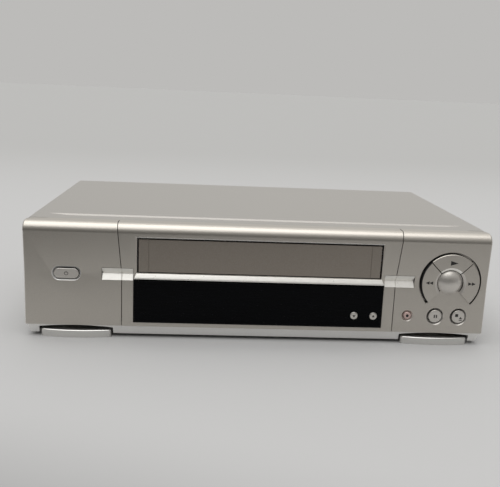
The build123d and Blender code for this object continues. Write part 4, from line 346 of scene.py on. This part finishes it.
# Where no spray reaches, the mouldings and keys are bare black ABS with a moulded grain, which is
# drawn coarser than it is, too.
bare_abs, tree, spot = blank("bare_abs")
grain = add(tree, "TexNoise", {"Vector": spot, "Scale": per_metre(0.556), "Detail": 2.0})
colour = add(tree, "MixRGB", {"Fac": grain, "Color1": linear("0f0f10"), "Color2": linear("1c1c1d")})
skin = add(tree, "BsdfPrincipled", {"Base Color": colour, "Roughness": 0.55, "IOR": 1.53})
add(tree, "OutputMaterial", {"Surface": skin})

# A paler, brighter copy of the lacquer paints light: the floor's light on the plinth, and
# highlights on the bevel over the cassette opening and in the dish round the power button.
painted_light_pale_lacquer, tree, spot = blank("painted_light_pale_lacquer")
flake = add(tree, "TexNoise", {"Vector": spot, **lacquer_flake})
peel = add(tree, "TexNoise", {"Vector": spot, "Scale": per_metre(1.43), "Detail": 1.0})
colour = add(tree, "MixRGB", {"Fac": flake, "Color1": linear("ecebe8"), "Color2": linear("fbfaf8")})
bumps = add(tree, "Bump", {"Height": peel, "Distance": 0.00002, "Strength": 1.0})
skin = add(
    tree,
    "BsdfPrincipled",
    {"Base Color": colour, "Metallic": 0.5, "Roughness": 0.35, "Normal": bumps},
)
add(tree, "OutputMaterial", {"Surface": skin})

# A lighter copy of the face's lacquer paints highlights and reflections: on the right end's plinth,
# dome and dishes, on the slopes round the dome and on the caps of the round buttons.
painted_highlight_lacquer, tree, spot = blank("painted_highlight_lacquer")
flake = add(tree, "TexNoise", {"Vector": spot, **lacquer_flake})
colour = add(tree, "MixRGB", {"Fac": flake, "Color1": linear("c6c2bc"), "Color2": linear("dedad4")})
skin = add(tree, "BsdfPrincipled", {"Base Color": colour, "Metallic": 0.85, "Roughness": 0.38})
add(tree, "OutputMaterial", {"Surface": skin})

# The ring of keys stands in a hole whose edge is relieved a little. Beside the keys, except at its
# lower right, the hole's wall is drawn bare black: painted shade in the gap.
play_low, play_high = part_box("play_key")
rewind_low, rewind_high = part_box("rewind_key")
ring_x = (play_low[0] + play_high[0]) / 2
ring_z = (rewind_low[2] + rewind_high[2]) / 2
ring_hole = 0.0258
ring_relief = 0.0004
dome_radius = 0.0104
plinth_top = 0.0104
roll_low = 0.087  # the roll from the face to the top starts here


def from_ring(point):
    """How far a point lies from the middle of the ring of keys, seen from the front."""
    return math.hypot(point[0] - ring_x, point[2] - ring_z)


for side, painted_light_finish in (
    ("center", painted_light_pale_lacquer),
    ("left", painted_light_pale_lacquer),
    ("right", painted_highlight_lacquer),
):
    moulding = eased(
        "front_moulding_" + side, "bezel_" + side, 0.0003, "silver_plastic",
        silver_lacquer, bare_abs, painted_light_finish, painted=0.0018,
    )
    if side == "right":
        for vert in moulding.data.vertices:
            on_edge = ring_hole - 0.0001 < from_ring(vert.co) < ring_hole + 0.0004
            if on_edge and vert.co.y < face_y + 0.0045:
                out = Vector((vert.co.x - ring_x, 0, vert.co.z - ring_z))
                vert.co += ring_relief * out.normalized()
    for face in moulding.data.polygons:
        place = face.center
        on_plinth = place.z < plinth_top
        on_dome = side == "right" and from_ring(place) < dome_radius and place.y < face_y + 0.002
        # The dishes round buttons and the bevel over the cassette opening; these, the plinth and
        # the dome take the lighter finish as painted light.
        slope = -0.87 < face.normal.y < -0.5 and place.z < roll_low and face.material_index == 0
        if side == "center":
            slope = slope and face.normal.z < -0.3
        if on_plinth or on_dome or slope:
            face.material_index = 2
        # Painted shade: the hole's wall is bare black beside the keys, and keeps the lacquer at the
        # lower right.
        on_edge = ring_hole + 0.0001 < from_ring(place) < ring_hole + 0.0008
        gap_in_shade = place.x < ring_x or place.z > ring_z - 0.006
        if side == "right" and on_edge and gap_in_shade and face.normal.y > -0.97:
            face.material_index = 1

# ---------------------------------------------------------------- belts and sill strip
# A folded trim runs from each end of the window, and a strip lies on the sill under the door.
# Both are ABS, vacuum metallised and lacquered, and are pushed into seats in the face.

# Metallised ABS is brighter and smoother than the paint.
bright_trim, tree, spot = blank("bright_trim")
haze = add(tree, "TexNoise", {"Vector": spot, "Scale": per_metre(2.5), "Detail": 3.0})
colour = add(tree, "MixRGB", {"Fac": haze, "Color1": linear("f0eee8"), "Color2": linear("fbf9f4")})
gloss = add(tree, "MapRange", {"Value": haze, "To Min": 0.24, "To Max": 0.36})
skin = add(tree, "BsdfPrincipled", {"Base Color": colour, "Metallic": 0.8, "Roughness": gloss})
add(tree, "OutputMaterial", {"Surface": skin})
eased("folded_belts", "belt_trims", 0.0002, "trim_plastic", bright_trim)
eased("bright_sill", "sill_strip", 0.0002, "bright_trim", bright_trim)

# ---------------------------------------------------------------- cassette door
# An ABS flap with the face's lacquer, hinged at its top on two pins and held shut by a spring.

# The flap's coat is the face's lacquer drawn a shade darker and warmer, as painted shade of its
# recess behind the face, and less glossy.
shaded_door_lacquer, tree, spot = blank("shaded_door_lacquer")
flake = add(tree, "TexNoise", {"Vector": spot, **lacquer_flake})
peel = add(tree, "TexNoise", {"Vector": spot, "Scale": per_metre(1.43), "Detail": 1.0})
colour = add(tree, "MixRGB", {"Fac": flake, "Color1": linear("8d857c"), "Color2": linear("a8a097")})
bumps = add(tree, "Bump", {"Height": peel, "Distance": 0.00002, "Strength": 1.0})
skin = add(
    tree,
    "BsdfPrincipled",
    {"Base Color": colour, "Metallic": 0.7, "Roughness": 0.45, "Normal": bumps},
)
add(tree, "OutputMaterial", {"Surface": skin})
eased("cassette_flap", "cassette_door", 0.0009, "silver_plastic", shaded_door_lacquer, segments=3)

# Spring steel is bright and faintly scored by the drawing die, with scores 0.8 mm wide to show.
drawn_steel, tree, spot = blank("drawn_steel")
score = add(tree, "TexNoise", {"Vector": spot, "Scale": per_metre(0.833), "Detail": 2.0})
gloss = add(tree, "MapRange", {"Value": score, "To Min": 0.22, "To Max": 0.42})
colour = add(tree, "MixRGB", {"Fac": score, "Color1": linear("8f8f8d"), "Color2": linear("bdbcb8")})
skin = add(tree, "BsdfPrincipled", {"Base Color": colour, "Metallic": 1.0, "Roughness": gloss})
add(tree, "OutputMaterial", {"Surface": skin})
dress(drawn_steel, "door_spring", "case_screws")

# ---------------------------------------------------------------- display window
# A long cover of smoked acrylic, bevelled round its edge, stands a little proud of the face.

# Smoked acrylic is near black and very glossy, with long wiping marks 1.7 mm wide.
smoked_acrylic, tree, spot = blank("smoked_acrylic")
wipe = add(tree, "Mapping", {"Vector": spot, "Scale": (0.15, 1.0, 1.0)})
wipe = add(tree, "TexNoise", {"Vector": wipe, "Scale": per_metre(1.667), "Detail": 3.0})
gloss = add(tree, "MapRange", {"Value": wipe, "To Min": 0.05, "To Max": 0.11})
colour = add(tree, "MixRGB", {"Fac": wipe, "Color1": linear("020203"), "Color2": linear("06070a")})
skin = add(
    tree,
    "BsdfPrincipled",
    {"Base Color": colour, "Roughness": gloss, "IOR": 1.49, "Specular IOR Level": 0.06},
)
add(tree, "OutputMaterial", {"Surface": skin})
eased("smoked_window", "display_window", 0.00015, "window_plastic", smoked_acrylic)

# ---------------------------------------------------------------- keys and buttons
# Three lacquered ABS keys form a ring round the dome, and round buttons stand in dishes below.
# Each slides in its own hole. Its mark is pad-printed on it in black ink.
slope_radius = 0.0136  # the outside of the slope round the dome
key_radius = 0.0240  # the inside of the bevel at the keys' rim
keys = {}
# Keys and buttons are drawn bare black from 0.2 mm behind their fronts, so the gaps round them show
# dark: partly bare ABS, partly painted shade.
for name in ("play_key", "rewind_key", "fast_forward_key"):
    slope_highlight = bright_trim if name == "play_key" else painted_highlight_lacquer
    keys[name] = eased(
        "lacquered_" + name, name, 0.0002, "key_plastic",
        silver_lacquer, bare_abs, slope_highlight, painted=0.0002,
    )
    # The slope round the dome takes a lighter finish, the play key's the brightest: painted
    # highlight.
    for face in keys[name].data.polygons:
        if from_ring(face.center) < slope_radius and -0.98 < face.normal.y < -0.3:
            face.material_index = 2
        # The rewind key's outer bevel is drawn bare black: painted shade in the gap beside it.
        if name == "rewind_key" and from_ring(face.center) > key_radius and face.normal.y > -0.95:
            face.material_index = 1
# The round buttons' caps take the lighter copy of the lacquer: painted highlights.
for name in (
    "pause_button", "stop_button", "power_button", "channel_down_button", "channel_up_button"
):
    keys[name] = eased(
        "lacquered_" + name, name, 0.0007, "key_plastic",
        painted_highlight_lacquer, bare_abs, painted=0.0002, segments=3,
    )

# The record button is moulded in rose-tinted ABS and is left half matt.
rose_abs, tree, spot = blank("rose_abs")
cloud = add(tree, "TexNoise", {"Vector": spot, "Scale": per_metre(1.667), "Detail": 2.0})
colour = add(tree, "MixRGB", {"Fac": cloud, "Color1": linear("c6a9a3"), "Color2": linear("dcc3bd")})
skin = add(tree, "BsdfPrincipled", {"Base Color": colour, "Metallic": 0.3, "Roughness": 0.4})
add(tree, "OutputMaterial", {"Surface": skin})
keys["record_button"] = eased(
    "rose_record_button", "record_button", 0.0002, "record_plastic", rose_abs
)

# Pad-printing ink is a dense film, thinner in specks that are drawn 0.3 mm wide to show.
black_ink, tree, spot = blank("black_ink")
film = add(tree, "TexNoise", {"Vector": spot, "Scale": per_metre(0.333), "Detail": 2.0})
colour = add(tree, "MixRGB", {"Fac": film, "Color1": linear("151414"), "Color2": linear("302e2c")})
skin = add(tree, "BsdfPrincipled", {"Base Color": colour, "Roughness": 0.55})
add(tree, "OutputMaterial", {"Surface": skin})


def mark(name, node, *figures):
    """Prints figures on a key or a button, in millimetres from its middle.

    A figure is its sides (4 is a bar), place across and up, width, height and turn to the right.
    """
    low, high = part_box(node)
    middle = Matrix.Translation(((low[0] + high[0]) / 2, 0, (low[2] + high[2]) / 2))
    ink_depth = 0.12
    shape = bmesh.new()
    for sides, across, up, wide, tall, turn in figures:
        stand = (
            middle
            @ Matrix.Scale(0.001, 4)
            @ Matrix.Translation((across, 0, up))
            @ Matrix.Rotation(math.radians(turn), 4, "Y")
            @ Matrix.Diagonal((wide, 1, tall, 1))
            @ Matrix.Rotation(math.radians(90), 4, "X")
        )
        if sides == 4:
            bar = stand @ Matrix.Diagonal((1, 1, ink_depth, 1))
            bmesh.ops.create_cube(shape, size=1.0, matrix=bar)
        else:
            bmesh.ops.create_cone(
                shape, cap_ends=True, segments=sides, radius1=0.5, radius2=0.5, depth=ink_depth,
                matrix=stand,
            )
    bpy.context.view_layer.update()
    button = keys[node]
    for vert in shape.verts:
        hit, place, _, _ = button.ray_cast(Vector((vert.co.x, -1, vert.co.z)), Vector((0, 1, 0)))
        if hit:
            vert.co.y += place.y
    show(name, shape, button["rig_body"], "black_plastic", black_ink)


mark("play_mark", "play_key", (3, 0.4, 0.48, 4.6, 8.5, 90))
mark("rewind_mark", "rewind_key", (3, -2.28, 0, 3.4, 4.2, -90), (3, 0.82, 0, 3.4, 4.2, -90))
mark("forward_mark", "fast_forward_key", (3, -1.02, 0, 3.4, 4.2, 90), (3, 2.08, 0, 3.4, 4.2, 90))
mark("pause_mark", "pause_button", (4, -0.7, 0, 1.0, 2.6, 0), (4, 1.1, 0, 1.0, 2.6, 0))
mark(
    "stop_mark", "stop_button",
    (4, -1.59, 1.2, 2.5, 2.5, 0), (3, 1.91, -1.2, 3.1, 2.6, 0), (4, 1.91, -2.9, 2.7, 0.6, 0),
)
power_ring = 1.4  # radius of the broken ring round the power sign's bar
power_sign = [(4, 0, 1.1, 0.5, 1.6, 0)]
for turn in range(40, 321, 28):
    angle = math.radians(turn)
    place = power_ring * math.sin(angle), power_ring * math.cos(angle)
    power_sign.append((4, *place, 0.8, 0.4, turn))
mark("power_mark", "power_button", *power_sign)
mark("record_mark", "record_button", (24, 0, 0, 2.4, 2.4, 0))
mark("channel_down_mark", "channel_down_button", (3, 0, 0, 3.0, 2.6, 180))
mark("channel_up_mark", "channel_up_button", (3, 0, 0, 3.0, 2.6, 0))

# ---------------------------------------------------------------- top cover
# One sheet of 0.8 mm steel is bent over the top and both sides, with slots at each side for
# cooling. It is painted and baked, and screws to the tray.
cover_front = face_y + 0.0168  # the front edge of its top
cover_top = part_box("top_cover")[1][2]
corner_length = 0.010  # the part of each front corner that is dressed down, from front to back
corner_x = 0.160
corner_drop = 0.0005

# Baked enamel has a leather-like orange peel of 1 mm and a satin sheen. Its pigment grain is drawn
# 0.8 mm wide to show.
baked_enamel, tree, spot = blank("baked_enamel")
enamel_grain = {"Scale": per_metre(0.769), "Detail": 2.0, "Roughness": 0.7}
grain = add(tree, "TexNoise", {"Vector": spot, **enamel_grain})
cloud = add(tree, "TexNoise", {"Vector": spot, "Scale": per_metre(111), "Detail": 2.0})
peel = add(tree, "TexNoise", {"Vector": spot, "Scale": per_metre(1.11), "Detail": 2.0})
colour = add(tree, "MixRGB", {"Fac": grain, "Color1": linear("9c9994"), "Color2": linear("bab7b2")})
colour = add(tree, "MixRGB", {"Fac": cloud, "Color1": colour, "Color2": linear("aca9a4")})
bumps = add(tree, "Bump", {"Height": peel, "Distance": 0.00003, "Strength": 1.0})
skin = add(
    tree,
    "BsdfPrincipled",
    {"Base Color": colour, "Metallic": 0.5, "Roughness": 0.40, "Normal": bumps},
)
add(tree, "OutputMaterial", {"Surface": skin})
cover = eased("steel_cover", "top_cover", 0.0003, "cover_paint", baked_enamel)

# The ends of its front edge are dressed down to meet the mouldings.
shape = bmesh.new()
shape.from_mesh(cover.data)
cut(shape, cover_front + corner_length)
for vert in shape.verts:
    x, y, z = vert.co
    if abs(x) > corner_x and y < cover_front + 0.0006 and z > cover_top - 0.0009:
        vert.co.z -= corner_drop
shape.to_mesh(cover.data)
shape.free()
dress(baked_enamel, "rear_panel")

# ---------------------------------------------------------------- tray and feet
# The tray under the works is pressed from zinc-coated steel. Two broad ABS feet stand under the
# front corners, and two round rubber ones under the rear.

# Galvanised steel has dull blue-grey spangles 6 mm wide, and scratches from the press that are
# drawn 0.7 mm wide to show.
galvanised_steel, tree, spot = blank("galvanised_steel")
spangle = add(tree, "TexVoronoi", {"Vector": spot, "Scale": per_metre(6.25)})
scratch = add(tree, "Mapping", {"Vector": spot, "Scale": (0.05, 1.0, 1.0)})
scratch = add(tree, "TexNoise", {"Vector": scratch, "Scale": per_metre(0.667), "Detail": 2.0})
gloss = add(tree, "MapRange", {"Value": scratch, "To Min": 0.28, "To Max": 0.5})
colour = add(
    tree, "MixRGB", {"Fac": spangle, "Color1": linear("9a9c9d"), "Color2": linear("c0c1c0")}
)
skin = add(tree, "BsdfPrincipled", {"Base Color": colour, "Metallic": 1.0, "Roughness": gloss})
add(tree, "OutputMaterial", {"Surface": skin})
dress(galvanised_steel, "chassis_tray", "deck_chassis", "carriage_frame", "carriage_slider")
dress(galvanised_steel, "cassette_holder", "pinch_arm", "tension_arm", "tuner_can")

# The feet's lacquer is silver without the face's warm tint.
foot_lacquer, tree, spot = blank("foot_lacquer")
flake = add(tree, "TexNoise", {"Vector": spot, **lacquer_flake})
colour = add(tree, "MixRGB", {"Fac": flake, "Color1": linear("d3d2ce"), "Color2": linear("e2e1de")})
skin = add(tree, "BsdfPrincipled", {"Base Color": colour, "Metallic": 0.85, "Roughness": 0.3})
add(tree, "OutputMaterial", {"Surface": skin})
eased("front_foot_pair", "front_feet", 0.0003, "foot_plastic", foot_lacquer)

# Rubber is matt, nearly black and faintly dusty.
matt_rubber, tree, spot = blank("matt_rubber")
dust = add(tree, "TexNoise", {"Vector": spot, "Scale": per_metre(4), "Detail": 4.0})
colour = add(tree, "MixRGB", {"Fac": dust, "Color1": linear("161616"), "Color2": linear("3a3937")})
skin = add(tree, "BsdfPrincipled", {"Base Color": colour, "Roughness": 0.8})
add(tree, "OutputMaterial", {"Surface": skin})
dress(matt_rubber, "rear_feet", "drive_belts", "idler_wheel", "pinch_roller")

# ---------------------------------------------------------------- sockets
# Two 21-pin sockets in black nylon and a pair of nickel-plated aerial sockets stand in the rear.

# Glass-filled nylon is black and slightly mottled.
black_nylon, tree, spot = blank("black_nylon")
mottle = add(tree, "TexNoise", {"Vector": spot, "Scale": per_metre(1.11), "Detail": 3.0})
colour = add(
    tree, "MixRGB", {"Fac": mottle, "Color1": linear("121213"), "Color2": linear("29292b")}
)
bumps = add(tree, "Bump", {"Height": mottle, "Distance": 0.00003, "Strength": 1.0})
skin = add(tree, "BsdfPrincipled", {"Base Color": colour, "Roughness": 0.42, "Normal": bumps})
add(tree, "OutputMaterial", {"Surface": skin})
dress(black_nylon, "scart_sockets", "tact_switches", "clutch_wheel", "idler_arm", "motor_pulley")
dress(black_nylon, "supply_reel", "takeup_reel")
dress(nickel_plate, "aerial_sockets", "supply_guide", "takeup_guide", "tape_heads")

# ---------------------------------------------------------------- boards and power supply
# Two phenolic boards carry the electronics, with a transformer and a heat sink beside the deck.

# Phenolic paper board is brown below, with components in black on it.
phenolic_board, tree, spot = blank("phenolic_board")
fleck = add(tree, "TexNoise", {"Vector": spot, "Scale": per_metre(1.667), "Detail": 3.0})
colour = add(tree, "MixRGB", {"Fac": fleck, "Color1": linear("6d4a2b"), "Color2": linear("8f6640")})
skin = add(tree, "BsdfPrincipled", {"Base Color": colour, "Roughness": 0.5})
add(tree, "OutputMaterial", {"Surface": skin})
dress(phenolic_board, "front_board", "main_board")

# Silicon-steel core and motor cans are varnished dark grey, streaked where the varnish ran.
varnished_steel, tree, spot = blank("varnished_steel")
streak = add(tree, "Mapping", {"Vector": spot, "Scale": (0.1, 0.1, 1.0)})
streak = add(tree, "TexNoise", {"Vector": streak, "Scale": per_metre(0.667), "Detail": 2.0})
colour = add(
    tree, "MixRGB", {"Fac": streak, "Color1": linear("4c4d50"), "Color2": linear("8a8b8e")}
)
skin = add(tree, "BsdfPrincipled", {"Base Color": colour, "Metallic": 0.8, "Roughness": 0.4})
add(tree, "OutputMaterial", {"Surface": skin})
dress(varnished_steel, "transformer", "capstan", "capstan_motor", "loading_motor")

# Machined aluminium is pale and clouded by the lathe's rings, which are drawn 1.1 mm wide to show.
turned_aluminium, tree, spot = blank("turned_aluminium")
ring = add(tree, "TexNoise", {"Vector": spot, "Scale": per_metre(1.11), "Detail": 2.0})
gloss = add(tree, "MapRange", {"Value": ring, "To Min": 0.2, "To Max": 0.34})
skin = add(
    tree, "BsdfPrincipled", {"Base Color": linear("d3d4d4"), "Metallic": 1.0, "Roughness": gloss}
)
add(tree, "OutputMaterial", {"Surface": skin})
dress(turned_aluminium, "upper_drum", "lower_drum", "heat_sink")

# White acetal is waxy and slightly see-through.
white_acetal, tree, spot = blank("white_acetal")
wax = add(tree, "TexNoise", {"Vector": spot, "Scale": per_metre(5), "Detail": 2.0})
colour = add(tree, "MixRGB", {"Fac": wax, "Color1": linear("d8d5cb"), "Color2": linear("e9e7df")})
skin = add(
    tree,
    "BsdfPrincipled",
    {"Base Color": colour, "Roughness": 0.4, "Subsurface Weight": 0.1, "Subsurface Scale": 0.002},
)
add(tree, "OutputMaterial", {"Surface": skin})
dress(white_acetal, "cam_wheel")

# The display's glass is dark green over its grid.
display_glass, tree, spot = blank("display_glass")
grid = add(tree, "TexNoise", {"Vector": spot, "Scale": per_metre(1.43), "Detail": 1.0})
colour = add(tree, "MixRGB", {"Fac": grid, "Color1": linear("101a18"), "Color2": linear("1f2f2b")})
skin = add(tree, "BsdfPrincipled", {"Base Color": colour, "Roughness": 0.1})
add(tree, "OutputMaterial", {"Surface": skin})
dress(display_glass, "display_module")

# ---------------------------------------------------------------- floor and light
# The recorder stands on a wide pale floor of matt card. Its colour is painted dark in front of the
# recorder, as painted shade of the dim room there, and a little darker far behind it, as painted
# shade where it meets the wall. A broad soft light hangs over it, a little to the left, and a pale
# wall stands behind it.
shape = bmesh.new()
bmesh.ops.create_grid(shape, x_segments=1, y_segments=1, size=30.0)
mesh = bpy.data.meshes.new("pale_floor")
shape.to_mesh(mesh)
shape.free()
pale_floor = bpy.data.objects.new("pale_floor", mesh)
bpy.context.scene.collection.objects.link(pale_floor)
matt_card, tree, spot = blank("matt_card")
front_shade_range = {"From Min": -0.62, "From Max": -0.28}  # from front to back, in metres
far_shade_range = {"From Min": 0.3, "From Max": 1.6}
place = add(tree, "SeparateXYZ", {"Vector": spot}).node
skewed = add(
    tree, "Math", {0: place.outputs["X"], 1: 0.35, 2: place.outputs["Y"]}, operation="MULTIPLY_ADD"
)
front_shade = add(tree, "MapRange", {"Value": skewed, **front_shade_range}, interpolation_type="SMOOTHSTEP")
far_shade = add(
    tree, "MapRange", {"Value": place.outputs["Y"], **far_shade_range}, interpolation_type="SMOOTHSTEP"
)
# Painted shade: dark in front of the recorder, and a little darker far behind it.
colour = add(tree, "MixRGB", {"Fac": front_shade, "Color1": linear("2c2b2a"), "Color2": linear("c0c0c0")})
colour = add(tree, "MixRGB", {"Fac": far_shade, "Color1": colour, "Color2": linear("b3b3b2")})
skin = add(
    tree, "BsdfPrincipled", {"Base Color": colour, "Roughness": 0.8, "Specular IOR Level": 0.2}
)
add(tree, "OutputMaterial", {"Surface": skin})
mesh.materials.append(matt_card)

lamp = bpy.data.lights.new("broad_top_light", "SUN")
lamp.energy = 1.5
lamp.angle = math.radians(64)
stand = bpy.data.objects.new("broad_top_light", lamp)
stand.rotation_euler = Vector((0.14, 0.17, -1.0)).to_track_quat("-Z", "Y").to_euler()
bpy.context.scene.collection.objects.link(stand)

# The studio is dim low down before the recorder, pale behind it, and brightest overhead.
studio = bpy.data.worlds.new("pale_studio")
bpy.context.scene.world = studio
studio.use_nodes = True
tree = studio.node_tree
tree.nodes.clear()
around = tree.nodes.new("ShaderNodeTexCoord").outputs["Generated"]
overhead = (0.1, 0.45, 0.9)
lean = add(tree, "VectorMath", {0: around, 1: overhead}, operation="DOT_PRODUCT")
lean = lean.node.outputs["Value"]
paler = {"From Min": -0.35, "From Max": 0.42}
brighter = {"From Min": 0.62, "From Max": 0.95, "To Min": 1.0, "To Max": 2.0}
rise = add(tree, "MapRange", {"Value": lean, **paler}, interpolation_type="SMOOTHSTEP")
shade = add(tree, "MixRGB", {"Fac": rise, "Color1": linear("4a4845"), "Color2": linear("bcbbb9")})
strength = add(tree, "MapRange", {"Value": lean, **brighter}, interpolation_type="SMOOTHSTEP")
sky = add(tree, "Background", {"Color": shade, "Strength": strength})
add(tree, "OutputWorld", {"Surface": sky})

bpy.context.scene.view_settings.view_transform = "Standard"
